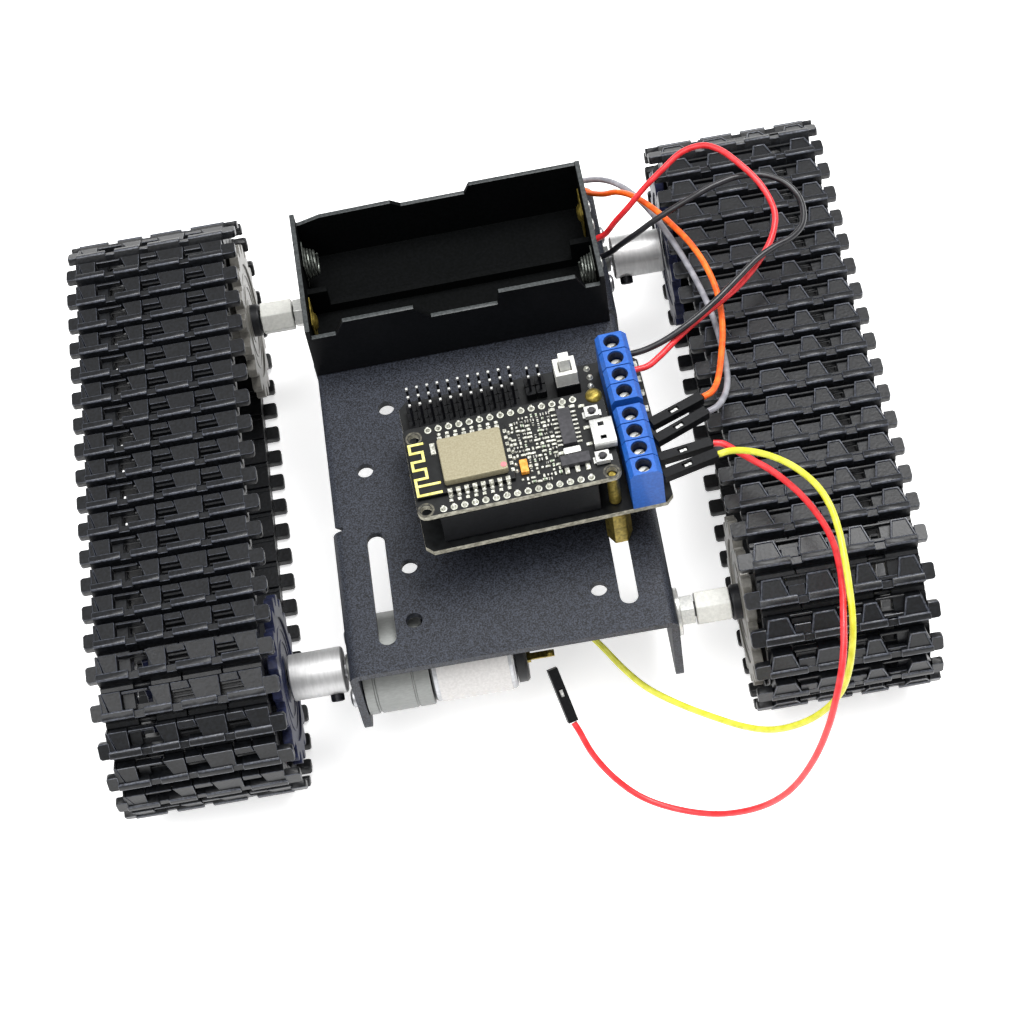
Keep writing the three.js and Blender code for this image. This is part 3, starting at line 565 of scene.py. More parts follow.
def tooth_opening(link):
    """bars round the opening that the wheel's teeth reach into"""
    link.box((28.6, 33.4), (4.6, 5.4), (2.4, 3.7))
    link.box((31.3, 34.2), (0.9, 4.7), (0.8, 2.2))
    link.box((27.2, 34.2), (0.4, 1.0), (1.6, 3.0))


def rimmed_treads(link):
    for near, far in PADS:
        tread_pad(link, near, far)
    for near, far in GAPS:
        gap_steps(link, near, far)
    tooth_opening(link)


def flush_pad(link, inner, rear_outer, front_outer):
    """flat plate behind the rib, with one slanting side"""
    outline = [(inner, 5.6), (front_outer, 5.6), (rear_outer, FLUSH_REAR), (inner, FLUSH_REAR)]
    link.prism(outline, (0.8, 4.05))


def flush_finger(link, rear_inner, front_inner, outer):
    """plate level with the pads, then an opening with a step and a bar"""
    front = 2.5
    middle = rear_inner - (rear_inner - front_inner) * (front - FLUSH_REAR) / (5.6 - FLUSH_REAR)
    outline = [(middle, front), (outer, front), (outer, FLUSH_REAR), (rear_inner, FLUSH_REAR)]
    link.prism(outline, (0.8, 3.95))
    link.box((front_inner, outer), (front, 3.2), (0.8, 3.0))
    link.box((front_inner, outer), (3.8, 4.4), (1.6, 2.6))


def flush_treads(link):
    for pad in FLUSH_PADS:
        flush_pad(link, *pad)
    for finger in FLUSH_FINGERS:
        flush_finger(link, *finger)
    link.box((27.9, 34.1), (0.9, 1.5), (2.0, 3.9))
    link.box((31.3, 34.2), (1.5, 5.4), (0.8, 2.2))
    link.prism([(37.8, 5.6), (39.6, 5.6), (39.6, 0.6), (39.0, 0.6)], (0.8, 4.0))


def tread_rib(link):
    """bar along the link's front edge, lower and further forward at its notches"""
    profile = [(5.2, 0.8), (5.2, 4.35), (5.6, 4.6), (7.0, 4.6), (7.3, 4.3), (7.5, 0.8)]
    low_profile = [(5.5, 0.8), (5.7, 3.9), (7.5, 3.9), (7.7, 0.8)]
    for near, far in RIBS:
        link.prism(profile, (near, far), across)
    for near, far in NOTCHES:
        link.prism(low_profile, (near - 0.1, far + 0.1), across)


def link_tab(link, near, far):
    """flat ear level with the pads, with cut corners at its free end"""
    tip, root = (near, far) if near < 0 else (far, near)
    lean = 0.5 if tip > root else -0.5
    outline = [(root, 3.0), (tip - lean, 3.0), (tip, 3.5), (tip, 6.6), (tip - lean, 7.1), (root, 7.1)]
    link.prism(outline, (2.3, 4.35))


def link_shape(add_treads):
    """one link: x across from the inner edge, y along from its first pin, z out from the pin line"""
    link = Shape()
    link.plate([rect((0.3, 39.5), (1.0, 7.3)), rect(*WINDOW)], (-1.6, 1.2))
    for near, far in ((0.4, 9.8), (10.1, 19.5), (19.8, 27.2), (31.4, 39.4)):
        link.prism(ring(1.5, 10), (near, far), across)
    link.prism(ring(0.8, 8), (27.1, 31.5), across)
    add_treads(link)
    tread_rib(link)
    for near, far in TABS:
        link_tab(link, near, far)
    bmesh.ops.recalc_face_normals(link.bm, faces=link.bm.faces)
    sharp = [e for e in link.bm.edges if e.calc_face_angle(0) > math.radians(40)]
    bmesh.ops.bevel(link.bm, geom=sharp, offset=0.13, segments=1, profile=0.5, affect="EDGES",
                    clamp_overlap=True)
    # raised faces above 3.4 mm that slant or are narrow bevels take the lighter second look: partly wear on
    # the edges, partly a painted highlight where the lamps catch them
    for face in link.bm.faces:
        slanting = 0.3 < face.normal.z < 0.97
        if face.calc_center_median().z > 3.4 and (slanting or face.calc_area() < 1.2):
            face.material_index = WORN_AND_LIT_TREAD
    return link


def link_frames():
    """(pin, along, out) of every link in (y, z), over the top towards the front first"""
    pin = Vector((AXLE_Y, AXLE_Z + PIN_R))
    heading = math.pi
    step = 2 * math.pi / TEETH
    turns = [0] * RUN_LINKS + [step / 2] + [step] * (TEETH // 2 - 1)
    for turn in turns + [step / 2] + turns[1:]:
        heading += turn
        along = Vector((math.cos(heading), math.sin(heading)))
        yield pin.copy(), along, Vector((along.y, -along.x))
        pin += along * PITCH


def track(name, side):
    """the right track has rimmed pads, the left track flush ones"""
    link = link_shape(rimmed_treads if side > 0 else flush_treads)
    link.bm.verts.index_update()
    loop = Shape()
    for pin, along, out in link_frames():
        placed = []
        for vert in link.bm.verts:
            w, s, n = vert.co
            y, z = pin + along * s + out * n
            placed.append(loop.bm.verts.new((side * (TRACK_INNER + w), y, z)))
        for face in link.bm.faces:
            loop.look = face.material_index
            loop.face([placed[v.index] for v in face.verts])
    link.bm.free()
    loop.finish(f"tread_{name}", f"track_{name}", "track_rubber", "tread_wear_and_highlight", bevel=0)


# ---- wheels ----

WHEEL_DISCS = ((56.2, 58.6), (86, 88.5))
HUB_SPAN = (56.5, 89.5)
HUB_R = 6
BORE_R = 2.25
WEB_R = 15.7


def mirrored(profile, side):
    return [(radius, side * x) for radius, x in profile]


def toothed_outline(centre, tip=21.1, root=18.4):
    step = 2 * math.pi / TEETH
    tooth = ((-0.38, root), (-0.25, tip - 0.8), (-0.16, tip), (0.16, tip), (0.25, tip - 0.8), (0.38, root))
    polar = [(r, (i + 0.5 + part) * step) for i in range(TEETH) for part, r in tooth]
    return [(centre[0] + r * math.cos(a), centre[1] + r * math.sin(a)) for r, a in polar]


def wheel(node, look, side, y, boss=None):
    """two toothed discs on one hub, each with a raised rim round a dished web"""
    shape = Shape()
    axis = (y, AXLE_Z)

    def sleeve(inner, outer, near, far):
        profile = rect((inner, outer), (near, far))
        shape.turned(mirrored(profile, side), axis, across, closed=True)

    for near, far in WHEEL_DISCS:
        shape.plate([toothed_outline(axis), ring(WEB_R - 0.2, 48, axis)], sided(side, near, far), across)
        sleeve(BORE_R, WEB_R, near + 0.5, far - 0.5)
        for radius in (9.2, 12.4):
            sleeve(radius, radius + 0.7, near + 0.25, far - 0.25)
    sleeve(BORE_R, HUB_R, *HUB_SPAN)
    shape.look = 1
    if boss:
        collar = [(BORE_R, boss), (4.1, boss), (4.4, boss + 0.4), (4.4, 57), (BORE_R, 57)]
        shape.turned(mirrored(collar, side), axis, across, closed=True)
    shape.finish(f"{node}_moulding", node, look, "idler_boss", bevel=0.25)


# ---- chassis plate ----

BEND_START = 37.4
BEND_MID_R = 1.6
BEND_RUN = BEND_MID_R * math.pi / 2
BEND_OUTER_R = 2.6
FLANGE_LOW = 15.7
FLANGE_CORNER_R = 5
SLOT_X = 29.5
SLOT_R = 2.2
FLANGES = ((-69.2, -27), (27, 69.2))


def folded(u, v, w):
    """a point of the flat sheet, w below its top, once both sides are folded down"""
    side = -1 if u < 0 else 1
    past = abs(u) - BEND_START
    if past <= 0:
        return (u, v, DECK_TOP - w)
    angle = min(past / BEND_MID_R, math.pi / 2)
    drop = max(0, past - BEND_RUN)
    radius = BEND_OUTER_R - w
    x = BEND_START + radius * math.sin(angle)
    z = DECK_TOP - BEND_OUTER_R + radius * math.cos(angle) - drop
    return (side * x, v, z)


def unfolded_height(z):
    """where the flat sheet has what the folded flange has at height z"""
    return BEND_START + BEND_RUN + DECK_TOP - BEND_OUTER_R - z


def sheet_outline():
    """the flat sheet's edge on the right side as (u, v), front to rear"""
    edge = unfolded_height(FLANGE_LOW)
    inside = BEND_START - 0.4
    front, rear = ([(BEND_START, start), *rounded((0, edge), (start, end), FLANGE_CORNER_R, 8)[:18],
                    (BEND_START, end)] for start, end in FLANGES)
    return front + [(inside, -26.2), (38.6, -25.4), (38.6, 25.4), (inside, 26.2)] + rear


def chassis_plate():
    sheet = Shape()
    right = sheet_outline()
    outline = right + [(-u, v) for u, v in reversed(right)]
    holes = [ring(2.05, 28, spot) for spot in ((-22.6, -56.2), (22.6, -56.2), (-22.1, -40.6),
                                               (-29.9, -10.1), (-22.6, 8), (22.6, 8))]
    for side in (-1, 1):
        height = side * unfolded_height(AXLE_Z)
        holes += [capsule(about(side * SLOT_X, SLOT_R), (-61.8, -29.2)), ring(4, 36, (height, side * AXLE_Y)),
                  ring(2.3, 28, (height, -side * AXLE_Y))]
    bends = [side * (BEND_START + BEND_RUN * i / 8) for side in (-1, 1) for i in range(9)]
    sheet.plate([outline, *holes], (0, DECK_THICK), folded, bends=bends)
    sheet.finish("deck_sheet", "chassis_plate", "powder_black", bevel=0.3, smooth=30)


# ---- drive train ----

def spun(side, y, profile, sides, closed=False):
    """a shape turned about the axle line at y, from (radius, x) pairs for the right side"""
    shape = Shape()
    shape.turned(mirrored(profile, side), (y, AXLE_Z), across, sides, closed)
    return shape


def gearmotor(name, side):
    """spur gearbox, labelled steel can, and rear cap with its two tabs"""
    y = side * AXLE_Y
    box = spun(side, y, [(0, 21.4), (12.1, 21.4), (12.3, 21.7), (12.3, 25.1), (12.0, 25.3), (12.0, 25.6),
                         (12.3, 25.8), (12.3, 34.6), (11.9, 34.8), (11.9, 35.2), (12.3, 35.4), (12.3, 37.7),
                         (3.5, 37.7), (3.5, 41.6), (2.3, 41.6), (2.3, 34.2), (0, 34.2)], 72)
    box.finish(f"gearbox_{name}_case", f"gearbox_{name}", "gearbox", bevel=0.12)
    can = spun(side, y, [(0, 21.1), (11.3, 21.1), (11.8, 20.6), (11.8, 1.2), (11.2, 0.6), (0, 0.6)], 72)
    can.finish(f"motor_can_{name}_shell", f"motor_can_{name}", "steel", bevel=0.1)
    label = spun(side, y, rect((11.7, 12.0), (19.6, 2.0)), 72, True)
    label.detail(f"motor_{name}_label", f"motor_can_{name}", "label_white", bevel=0.05)
    cap = spun(side, y, [(0, 0.3), (10.6, 0.3), (10.6, -1.8), (10.0, -2.5), (3.6, -2.5), (3.4, -3.2),
                         (1.2, -3.2), (1.2, -2.7), (0, -2.7)], 64)
    cap.finish(f"motor_cap_{name}_moulding", f"motor_cap_{name}", "black_plastic", bevel=0.15)
    tabs = Shape()
    for end in about(y, 5.5):
        outline = rect(sided(side, -2.2, -9.3), about(end, 0.9))
        tabs.plate([outline, ring(0.45, 14, (side * -7.9, end))], about(AXLE_Z, 0.25))
        tabs.box(sided(side, -2.3, -3.4), about(end, 1.3), about(AXLE_Z, 0.6))
        tabs.dome(side * -8.2, end, AXLE_Z + 0.2, 0.9, 0.7)
    tabs.detail(f"motor_{name}_tabs", f"motor_cap_{name}", "brass", bevel=0.06)


def flange_screws(name, side):
    """two pan heads that hold the gearbox to the flange"""
    shape = Shape()
    head = mirrored([(0, 39.6), (2.5, 40.1), (2.4, 41.0), (1.6, 41.5), (0, 41.6)], side)
    for y in (side * AXLE_Y - 8.5, side * AXLE_Y + 8.5):
        shape.turned(head, (y, AXLE_Z), across, 28)
        tool = Shape()
        for u, v in ((1.4, 0.25), (0.25, 1.4)):
            tool.prism(rect(about(y, u), about(AXLE_Z, v)), sided(side, 41.1, 42.5), across)
        shape.carve(tool)
    shape.detail(f"flange_screws_{name}", f"gearbox_{name}", "steel", bevel=0.08)


def coupling(name, side):
    node = f"coupling_{name}"
    y = side * AXLE_Y
    sleeve = spun(side, y, [(2.3, 42.2), (5.4, 42.2), (5.8, 42.6), (5.8, 55.5), (5.4, 55.9), (2.3, 55.9)],
                  64, True)
    sleeve.finish(f"{node}_sleeve", node, "aluminium", bevel=0.1)
    screw = Shape(Matrix.Translation((side * 45.2, y, AXLE_Z)) @ Matrix.Rotation(2.16, 4, "X"))
    screw.turned([(0, 3), (1.7, 3), (1.7, 7.3), (1.4, 7.6), (0.9, 7.6), (0.9, 6.4), (0, 6.4)], sides=24)
    screw.detail(f"{node}_grub_screw", node, "dark_steel", bevel=0.08)


def motor_shaft(name, side):
    node = f"motor_shaft_{name}"
    profile = [(0, 34.3), (1.7, 34.3), (2, 34.6), (2, 51.3), (1.7, 51.6), (0, 51.6)]
    spun(side, side * AXLE_Y, profile, 40).finish(f"{node}_bar", node, "steel", bevel=0.08)


def threaded(radius, start, end, turn=0.7, depth=0.22):
    """profile of a threaded rod as stacked ridges"""
    count = int((end - start) / turn)
    profile = [(0, start)]
    for i in range(count):
        profile += [(radius - depth, start + i * turn), (radius, start + (i + 0.5) * turn)]
    return profile + [(radius - depth, end), (0, end)]


def idler(name, side):
    """bolt through the flange, its nuts and hex spacer"""
    y = -side * AXLE_Y
    axis = (y, AXLE_Z)
    bolt = spun(side, y, threaded(2, 37, 96.5), 24)
    for span in ((34.9, 37.7), (90, 93.2)):
        bolt.prism(hexagon(7, axis), sided(side, *span), across)
    bolt.finish(f"idler_axle_{name}_bolt", f"idler_axle_{name}", "steel", bevel=0.1)
    nut = spun(side, y, [(2.3, 40.3), (5.8, 40.3), (6, 40.5), (6, 41.3), (5.8, 41.5), (2.3, 41.5)], 48, True)
    nut.plate([hexagon(7, axis), ring(2.3, 24, axis)], sided(side, 41.5, 44.9), across)
    nut.finish(f"idler_nut_{name}_set", f"idler_nut_{name}", "silver", bevel=0.2)
    sleeve = Shape()
    sleeve.plate([hexagon(8, axis), ring(2.3, 32, axis)], sided(side, 45.3, 53.9), across)
    sleeve.finish(f"idler_sleeve_{name}_spacer", f"idler_sleeve_{name}", "white_plastic", bevel=0.35)


# ---- battery holder ----

CELL_Y = 9.6
# material slots of the holder: painted shade in the cell bays, then a painted highlight on the wall tops
HOLDER_WELL_SHADE, HOLDER_RIM_HIGHLIGHT = 1, 2


def coil(end, cell):
    """conical spring from the end wall to its tip"""
    turns, steps = 4, 110
    path = []
    for i in range(steps + 1):
        part = i / steps
        angle = 2 * math.pi * turns * part
        radius = 4.0 - 1.1 * part
        path.append((end * (36.5 - 3.1 * part), cell + radius * math.cos(angle),
                     9.9 + radius * math.sin(angle)))
    return path


def battery_holder():
    shell = softened("battery_holder", "black_plastic", 0.35)
    for look in ("holder_well_shade", "rim_highlight_plastic"):
        shell.data.materials.append(LOOKS[look])
    into_holder = HOLDER.inverted()
    # faces inside the holder take a near-black look: painted shade over the floor and inner walls of the cell
    # bays
    for face in shell.data.polygons:
        spot = into_holder @ (face.center / MM)
        turned = into_holder.to_3x3() @ face.normal
        inward = turned.x * spot.x + turned.y * spot.y < 0
        # upward faces on the wall tops take a lighter look: a painted highlight along the rims
        if turned.z > 0.9:
            face.material_index = HOLDER_RIM_HIGHLIGHT if spot.z > 14 else HOLDER_WELL_SHADE
        elif inward or max(abs(spot.x) - 37, abs(spot.y) - 18.2) < 0:
            face.material_index = HOLDER_WELL_SHADE
    for name, end, cell in (("rear", -1, CELL_Y), ("front", 1, -CELL_Y)):
        spring = Shape(HOLDER)
        spring.tube(coil(end, cell), 0.33, 8)
        spring.box(sided(end, 36.6, 36.85), about(cell, 4.2), (5.6, 14.2))
        spring.finish(f"cell_spring_{name}_coil", f"cell_spring_{name}", "spring_steel", bevel=0)
    for name, end, cell in (("rear", 1, CELL_Y), ("front", -1, -CELL_Y)):
        contact = Shape(HOLDER)
        contact.box(sided(end, 36.5, 36.9), about(cell, 4.6), (1.8, 14.2))
        button = [(0, 35.4), (1.6, 35.6), (2.4, 36.2), (2.6, 36.6), (0, 36.6)]
        contact.turned(mirrored(button, end), (cell, 9.6), across, 28)
        contact.finish(f"cell_contact_{name}_plate", f"cell_contact_{name}", "brass", bevel=0.15)
    lugs = Shape(HOLDER)
    for cell in (-CELL_Y, 3.4, CELL_Y):
        lugs.turned([(0, 38.4), (1.7, 38.4), (1.6, 38.9), (0.8, 39.2), (0, 39.2)], (cell, 11.5), across, 20)
        lugs.turned([(0, -38.4), (1.2, -38.4), (0.8, -38.9), (0, -38.9)], (cell, 9.5), across, 16)
    lugs.detail("holder_eyelets", "battery_holder", "silver")


# ---- boards ----

def stack_plate(name, outlines, span, node):
    shape = Shape(STACK)
    shape.plate(outlines, span, edge=1)
    shape.finish(name, node, "board", "board_edge", bevel=0.08)


def on_board(height, sink=0.02):
    return (BOARD_TOP - sink, BOARD_TOP + height)


def boards():
    outline = [(1.7, -1.8), (58.6, -1.8), (60.4, 0), (60.4, 41.4), (58.6, 43.2), (1.7, 43.2), (-0.1, 41.4),
               (-0.1, 0)]
    stack_plate("shield_panel", [outline], (57.4, SHIELD_TOP), "motor_shield_board")
    corners = [(2.5, 22.9), (2.1, 1.9), (46.9, 24.3), (46.7, 1.7)]
    outlines = [rounded((0, 49), (0, 26), 2)] + [ring(1.3, 24, spot) for spot in corners]
    stack_plate("controller_panel", outlines, (69.8, BOARD_TOP), "controller_board")
    rings = Shape(STACK)
    for spot in corners:
        rings.plate([ring(2.0, 28, spot), ring(1.5, 28, spot)], on_board(0.04, 0.05))
    rings.detail("hole_rings", "controller_board", "hole_ring")


def sockets():
    for name, y in (("front", 1.2), ("rear", 24.4)):
        strip = Shape(STACK)
        strip.box((4.93, 43.03), about(y, 1.25), (SHIELD_FOOT, 69.5))
        strip.finish(f"socket_{name}_housing", f"socket_strip_{name}", "black_plastic", bevel=0.2)


def solder_joints():
    pads, beads = Shape(STACK), Shape(STACK)
    for x, y in ((6.2 + i * HEADER_PITCH, y) for y in (1.2, 24.4) for i in range(15)):
        pads.plate([ring(0.85, 16, (x, y)), ring(0.3, 8, (x, y))], on_board(0.05))
        beads.dome(x, y, BOARD_TOP + 0.05, 0.58, 0.6, 10)
        beads.box(about(x, 0.3), about(y, 0.3), (BOARD_TOP, BOARD_TOP + 1.1))
    pads.detail("header_pads", "controller_board", "ceramic")
    beads.detail("header_solder", "controller_board", "solder")


def antenna():
    """folded trace at the left end of the radio module"""
    left, right, half = 1.0, 3.9, 0.33
    rows = (20.2, 17.8, 15.2, 12.8, 10.1, 8.1, 5.4)
    trace = Shape(STACK)
    for i, y in enumerate(rows):
        end = 6.5 if i > 4 else right if i else right + 0.3
        trace.box((left - half, end + half), about(y, half), (MODULE_TOP - 0.05, MODULE_TOP + 0.12))
    for i, (upper, lower) in enumerate(zip(rows, rows[1:])):
        x = right if i in (1, 3) else left
        trace.box(about(x, half), (lower - half, upper + half), (MODULE_TOP - 0.04, MODULE_TOP + 0.11))
    trace.detail("antenna_trace", "radio_module", "gold_trace")


def radio_module():
    module = Shape(STACK)
    module.box((0.5, 24.4), (4.9, 20.9), (71.7, MODULE_TOP))
    module.look = 1
    module.prism(rounded((7.7, 23.1), (6.7, 19.1), 0.6), (72.4, CAN_TOP))
    module.finish("radio_can", "radio_module", "board", "can_metal", bevel=0.25)
    edges = Shape(STACK)
    for i in range(8):
        for y in (5.3, 20.5):
            edges.box((8.0 + 2 * i, 9.1 + 2 * i), about(y, 0.55), (71.6, 72.62))
            edges.dome(8.55 + 2 * i, y + (1 if y > 9 else -1) * 0.9, 71.45, 0.55, 0.5)
    for i in range(7):
        edges.box((23.7, 24.55), (6.9 + 1.9 * i, 7.9 + 1.9 * i), (71.6, 72.62))
        edges.dome(25.0, 7.4 + 1.9 * i, 71.45, 0.5, 0.5)
    edges.box((5.9, 7.1), (16.2, 19.4), (72.45, 73.0))
    edges.detail("module_pads", "radio_module", "solder", bevel=0.08)
    mark = Shape(STACK)
    mark.dome(22.2, 8.0, CAN_TOP, 0.75, 0.15)
    mark.detail("can_mark", "radio_module", "pink_dot")


def small_part(shape, x, y, length, width, height, upright=False):
    """chip resistor or capacitor: body between two bright ends"""
    for part, look, rise in ((1, 1, height), (0.5, 0, height + 0.04)):
        u = length / 2 * (1 if upright else part)
        v = width / 2 * (part if upright else 1)
        shape.look = look
        shape.box(about(x, u), about(y, v), on_board(rise))


def small_parts():
    """close rows of chip parts between the radio can and the serial chip"""
    chance = random.Random(11)
    pale, dark, green = Shape(STACK), Shape(STACK), Shape(STACK)
    for column in range(8):
        for row in range(17):
            x = 25.9 + 1.3 * column + chance.uniform(-0.12, 0.12)
            y = 3.2 + 1.17 * row + chance.uniform(-0.1, 0.1)
            kind = chance.random()
            length, width = chance.choice(((1.2, 0.55), (0.5, 0.95), (0.9, 0.75), (0.6, 0.5)))
            if (x < 28.4 and 5.2 < y < 10.4) or kind > 0.9:
                continue
            shape = pale if kind < 0.5 else dark if kind < 0.68 else green
            small_part(shape, x, y, length, width, 0.35 + 0.3 * kind, upright=width > length)
    for i in range(8):
        small_part(pale, 8.4 + 2 * i, 3.1, 0.9, 0.8, 0.25)
        small_part(pale, 8.6 + 2 * i, 22.5, 0.9, 0.7, 0.25)
    for x, y in ((36.3, 22.6), (38.7, 22.8), (41.1, 22.4), (43.4, 21.9), (43.2, 10.6), (43.4, 15.4),
                 (36.2, 9.6)):
        small_part(pale, x, y, 1.5, 0.8, 0.4)
    for shade, look, shape in (("pale", "ceramic", pale), ("dark", "chip", dark),
                               ("green", "green_part", green)):
        shape.detail(f"{shade}_chip_parts", "controller_board", look, "solder", bevel=0.06)
    tantalum = Shape(STACK)
    tantalum.box((25.9, 27.8), (5.9, 9.6), on_board(1.3))
    tantalum.detail("orange_capacitor", "controller_board", "orange_part", bevel=0.15)


def serial_chip():
    body = Shape(STACK)
    body.box((37.1, 40.5), (11.2, 21.7), (BOARD_TOP + 0.1, BOARD_TOP + 1.5))
    body.box((35.5, 42.6), (5.1, 8.0), (BOARD_TOP + 0.1, BOARD_TOP + 1.6))
    body.detail("chip_bodies", "controller_board", "chip", bevel=0.15)
    legs = Shape(STACK)
    for i in range(8):
        y = 12.0 + 1.27 * i
        for near, far in ((35.8, 37.2), (40.4, 41.8)):
            legs.box((near, far), about(y, 0.25), on_board(0.35))
    for x in (36.6, 39.1, 41.6):
        legs.box(about(x, 0.55), (3.4, 5.2), on_board(0.5))
    legs.detail("chip_legs", "controller_board", "solder", bevel=0.08)
    crystal = Shape(STACK)
    crystal.prism(rounded((36.7, 40.9), (8.5, 10.3), 0.5), (BOARD_TOP, BOARD_TOP + 1.2))
    crystal.detail("crystal", "controller_board", "silver", bevel=0.12)


def usb_socket():
    shell = Shape(STACK)
    shell.prism(rounded((8, 15.7), (71.7, 74.4), 0.7, 4), (44.2, 49.6), across)
    tool = Shape()
    tool.prism(rounded((8.5, 15.2), (72.1, 74.0), 0.5, 4), (45.2, 51), across)
    for y in (9.9, 13.8):
        tool.box((46.0, 47.4), about(y, 0.55), (73.2, 75))
    shell.carve(tool)
    shell.finish("usb_shell", "usb_socket", "silver", bevel=0.1)
    tongue = Shape(STACK)
    tongue.box((45.3, 49.0), (9.4, 14.3), (72.8, 73.3))
    tongue.detail("usb_tongue", "usb_socket", "black_plastic", bevel=0.05)


def push_button(name, x, y):
    body = Shape(STACK)
    body.box(about(x, 1.7), about(y, 1.5), (71.7, 73.2))
    well = Shape()
    well.turned([(0, 72.2), (1.1, 72.2), (1.1, 74), (0, 74)], (x, y), sides=28)
    body.carve(well)
    for side in (-1, 1):
        body.box(sorted((x + side * 1.6, x + side * 2.3)), about(y, 0.9), (71.45, 71.9))
    body.finish(f"{name}_button_case", f"{name}_button_body", "silver", bevel=0.1)
    cap = Shape(STACK)
    cap.turned([(0, 72.6), (0.8, 72.6), (0.8, 73.5), (0.6, 73.7), (0, 73.7)], (x, y), sides=28)
    cap.finish(f"{name}_button_top", f"{name}_button_cap", "chip", bevel=0.06)


def header_pin(base, posts, x, y, block, post):
    """plastic block and the square post in it, dark up to its tip as painted shade, with a painted highlight
    on the tip
    """
    base.prism(rounded(about(x, 1.24), about(y, 1.24), 0.45, 2), block)
    low, top = post
    # the lower post takes dark steel as painted shade, the top 0.7 mm bright silver as a painted highlight
    for look, span in enumerate(((low, top - 0.7), (top - 0.7, top))):
        posts.look = look
        posts.box(about(x, 0.32), about(y, 0.32), span)


def pin_field():
    """eleven by three header posts on their ribbed base"""
    base, posts = Shape(STACK), Shape(STACK)
    for i in range(11):
        for j in range(3):
            x, y = 3.07 + i * HEADER_PITCH, 34.08 + j * HEADER_PITCH
            header_pin(base, posts, x, y, (SHIELD_FOOT, 61.8), (61.5, 70))
    base.box((2.0, 29.2), (33.2, 40.1), (SHIELD_FOOT, 61.4))
    base.finish("pin_field_base", "pin_header_block", "black_plastic", bevel=0.1)
    posts.detail("pin_field_posts", "pin_header_block", "dark_steel", "silver", bevel=0.12)


def loose_pins():
    """the posts round the shield's edge, and its few soldered parts"""
    base, posts = Shape(STACK), Shape(STACK)
    for x in (32.8, 35.45):
        for y in (37.0, 39.7):
            header_pin(base, posts, x, y, (SHIELD_TOP, 61.5), (61.2, 67.5))
    for i in range(13):
        header_pin(base, posts, 3.1 + i * 2.51, 28.5, (SHIELD_TOP, 61.3), (61.2, 66.5))
    base.detail("loose_pin_bases", "motor_shield_board", "black_plastic", bevel=0.1)
    posts.detail("loose_pin_posts", "motor_shield_board", "dark_steel", "silver", bevel=0.12)
    parts = Shape(STACK)
    for y in (39.8, 35.1, 30.8, 25.9):
        parts.box((58.9, 60.0), about(y, 0.9), (SHIELD_TOP - 0.02, SHIELD_TOP + 0.5))
    for x, y in ((47.6, 41.7), (47.9, 39.0), (47.6, 36.4)):
        parts.dome(x, y, SHIELD_TOP, 0.8, 0.8)
    parts.detail("shield_solder", "motor_shield_board", "solder", bevel=0.05)


# ---- terminals ----

def terminal_block(name, start):
    """four screw terminals in one housing, with the wire mouths to the right"""
    ways = [start + i * TERMINAL_PITCH for i in range(4)]
    x = 54.2
    node = f"terminal_block_{name}"
    block, screws, shaded_wells, clamps = (Shape(STACK) for _ in range(4))
    mouths, slots = Shape(), Shape()
    profile = [(50.4, SHIELD_FOOT), (58.2, SHIELD_FOOT), (58.2, 71.6), (57.0, 73.2), (51.4, 73.2),
               (50.4, 71.8)]
    block.prism(profile, (start - 2.54, start + 17.78), rearward)
    for y in ways:
        mouths.turned([(0, 67.6), (2.0, 67.6), (2.0, 75), (0, 75)], (x, y), sides=32)
        mouths.box((54.6, 59), about(y, 1.7), (64.2, 68.2))
        screws.turned([(0, 67.5), (1.6, 67.5), (1.6, 70.2), (1.3, 70.5), (0, 70.5)], (x, y), sides=28)
        slots.prism(slanted(x, y), (69.7, 73))
        # a dark blue lining round the wall of each screw hole: painted shade in the hole
        shaded_wells.turned(rect((1.75, 2.05), (67.8, 72.7)), (x, y), sides=32, closed=True)
        for low in (64.4, 67.4):
            clamps.box((54.8, 57.4), about(y, 1.5), (low, low + 0.6))
    for y in ways[1:]:
        for xs, low in (((50, 59), 72.3), ((57.7, 59), 60), ((50, 50.9), 60)):
            mouths.box(xs, (y - 2.68, y - 2.4), (low, 75))
    block.carve(mouths)
    block.finish(f"{node}_housing", node, "terminal_blue", bevel=0.14)
    screws.carve(slots)
    screws.detail(f"{node}_screws", node, "silver", bevel=0.08)
    shaded_wells.detail(f"{node}_wells", node, "well_blue")
    clamps.detail(f"{node}_clamps", node, "steel", bevel=0.05)


def slanted(x, y):
    """screwdriver slot across a screw head at 30 degrees"""
    turn = math.radians(30)
    return [(x + u * math.cos(turn) - v * math.sin(turn), y + u * math.sin(turn) + v * math.cos(turn))
            for u, v in rect((-2, 2), (-0.28, 0.28))]


# ---- standoffs and switch ----

def standoffs():
    front, rear, left = (46.7, 1.7), (46.9, 24.3), (2.5, 22.9)
    for name, spot in (("lower_front", front), ("lower_right", rear), ("lower_left", left)):
        node = f"standoff_{name}"
        shape = Shape(STACK)
        shape.prism(hexagon(5.5, spot), (44.5, 57.1))
        if spot == front:
            shape.turned([(r, -z) for r, z in threaded(1.2, -44.6, -41.8, 0.45, 0.15)], spot, sides=20)
        shape.finish(f"{node}_post", node, "brass", bevel=0.3)
    for name, spot, tip, radius in (("upper_front", front, 70.2, 1.5), ("upper_rear", rear, 72.6, 2.2)):
        node = f"standoff_{name}"
        shape = Shape(STACK)
        shape.turned([(0, SHIELD_FOOT), (radius - 0.2, SHIELD_FOOT), (radius, 59.5), (radius, 69.3),
                      (radius - 0.2, 69.5), (1.1, 69.5), (1.1, tip - 0.3), (0.8, tip), (0, tip)],
                     spot, sides=32)
        shape.finish(f"{node}_post", node, "brass", bevel=0.1)
    screw = Shape(STACK)
    screw.dome(rear[0], rear[1], BOARD_TOP + 0.05, 2.1, 1.2, 28)
    screw.detail("board_screw", "standoff_upper_rear", "brass")


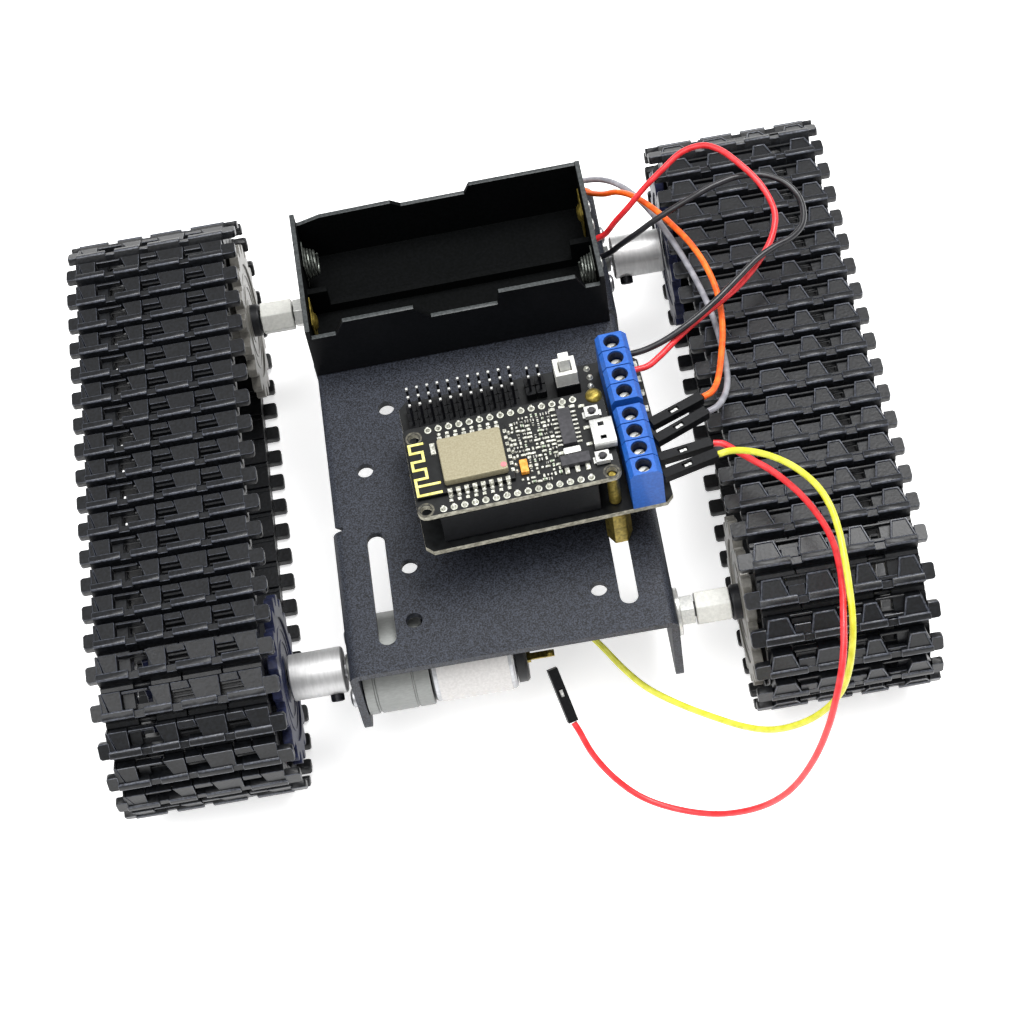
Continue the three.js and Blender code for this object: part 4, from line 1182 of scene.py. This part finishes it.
def power_switch():
    """white latching switch on its dark foot"""
    x, y = 42, 37.4
    body = Shape(STACK)
    body.box(about(x, 2.7), about(y, 2.7), (63.2, 68))
    body.look = 1
    body.box(about(x, 3), about(y, 3), (SHIELD_FOOT, 63.5))
    body.look = 0
    well = Shape()
    well.box(about(x, 1.6), about(y, 1.6), (63.8, 70))
    body.carve(well)
    body.finish("switch_case", "power_switch_body", "white_plastic", "black_plastic", bevel=0.25)
    plunger = Shape(STACK)
    plunger.box(about(x, 1.3), about(y, 1.3), (65.6, 71.9))
    plunger.finish("switch_button", "power_switch_plunger", "white_plastic", bevel=0.25)


# ---- stage ----

def floor():
    mesh = bpy.data.meshes.new("floor")
    shape = bmesh.new()
    bmesh.ops.create_grid(shape, x_segments=1, y_segments=1, size=20)
    shape.to_mesh(mesh)
    shape.free()
    paper = surface("floor_white", 0xf7f7f7, 0xfdfdfd, 0.9, 30, 0.0)
    glow = paper.node_tree.nodes["Principled BSDF"].inputs
    glow["Emission Color"].default_value = (1, 1, 1, 1)
    glow["Emission Strength"].default_value = 0.55
    mesh.materials.append(paper)
    piece = add_object("floor", mesh)
    piece.location.z = -0.0002


def lamp(name, place, size, energy, aim=(0, 0, 0.03)):
    data = bpy.data.lights.new(name, "AREA")
    data.size = size
    data.energy = energy
    piece = add_object(name, data)
    piece.location = place
    piece.rotation_euler = (Vector(aim) - Vector(place)).to_track_quat("-Z", "Y").to_euler()


def studio():
    scene = bpy.context.scene
    scene.world = bpy.data.worlds.new("studio")
    scene.world.use_nodes = True
    sky = scene.world.node_tree.nodes["Background"]
    sky.inputs["Color"].default_value = (1, 1, 1, 1)
    sky.inputs["Strength"].default_value = 0.6
    scene.view_settings.view_transform = "Standard"
    lamp("key", (0.3, 0.2, 1.0), 0.5, 11)
    lamp("fill", (-0.35, -0.3, 0.95), 0.7, 7)


# ---- assembly ----

chassis_plate()
for name, side in SIDES:
    track(name, side)
    wheel(f"drive_wheel_{name}", "wheel_drive", side, side * AXLE_Y)
    wheel(f"idler_wheel_{name}", "wheel_idler", side, -side * AXLE_Y, boss=54.2)
    for build in (gearmotor, flange_screws, coupling, motor_shaft, idler):
        build(name, side)
for build in (battery_holder, boards, sockets, solder_joints, radio_module, antenna, small_parts,
              serial_chip, usb_socket):
    build()
push_button("reset", 45.4, 18.9)
push_button("flash", 45.4, 5.5)
pin_field()
loose_pins()
terminal_block("rear", 22.68)
terminal_block("front", 0.46)
standoffs()
power_switch()
floor()
studio()
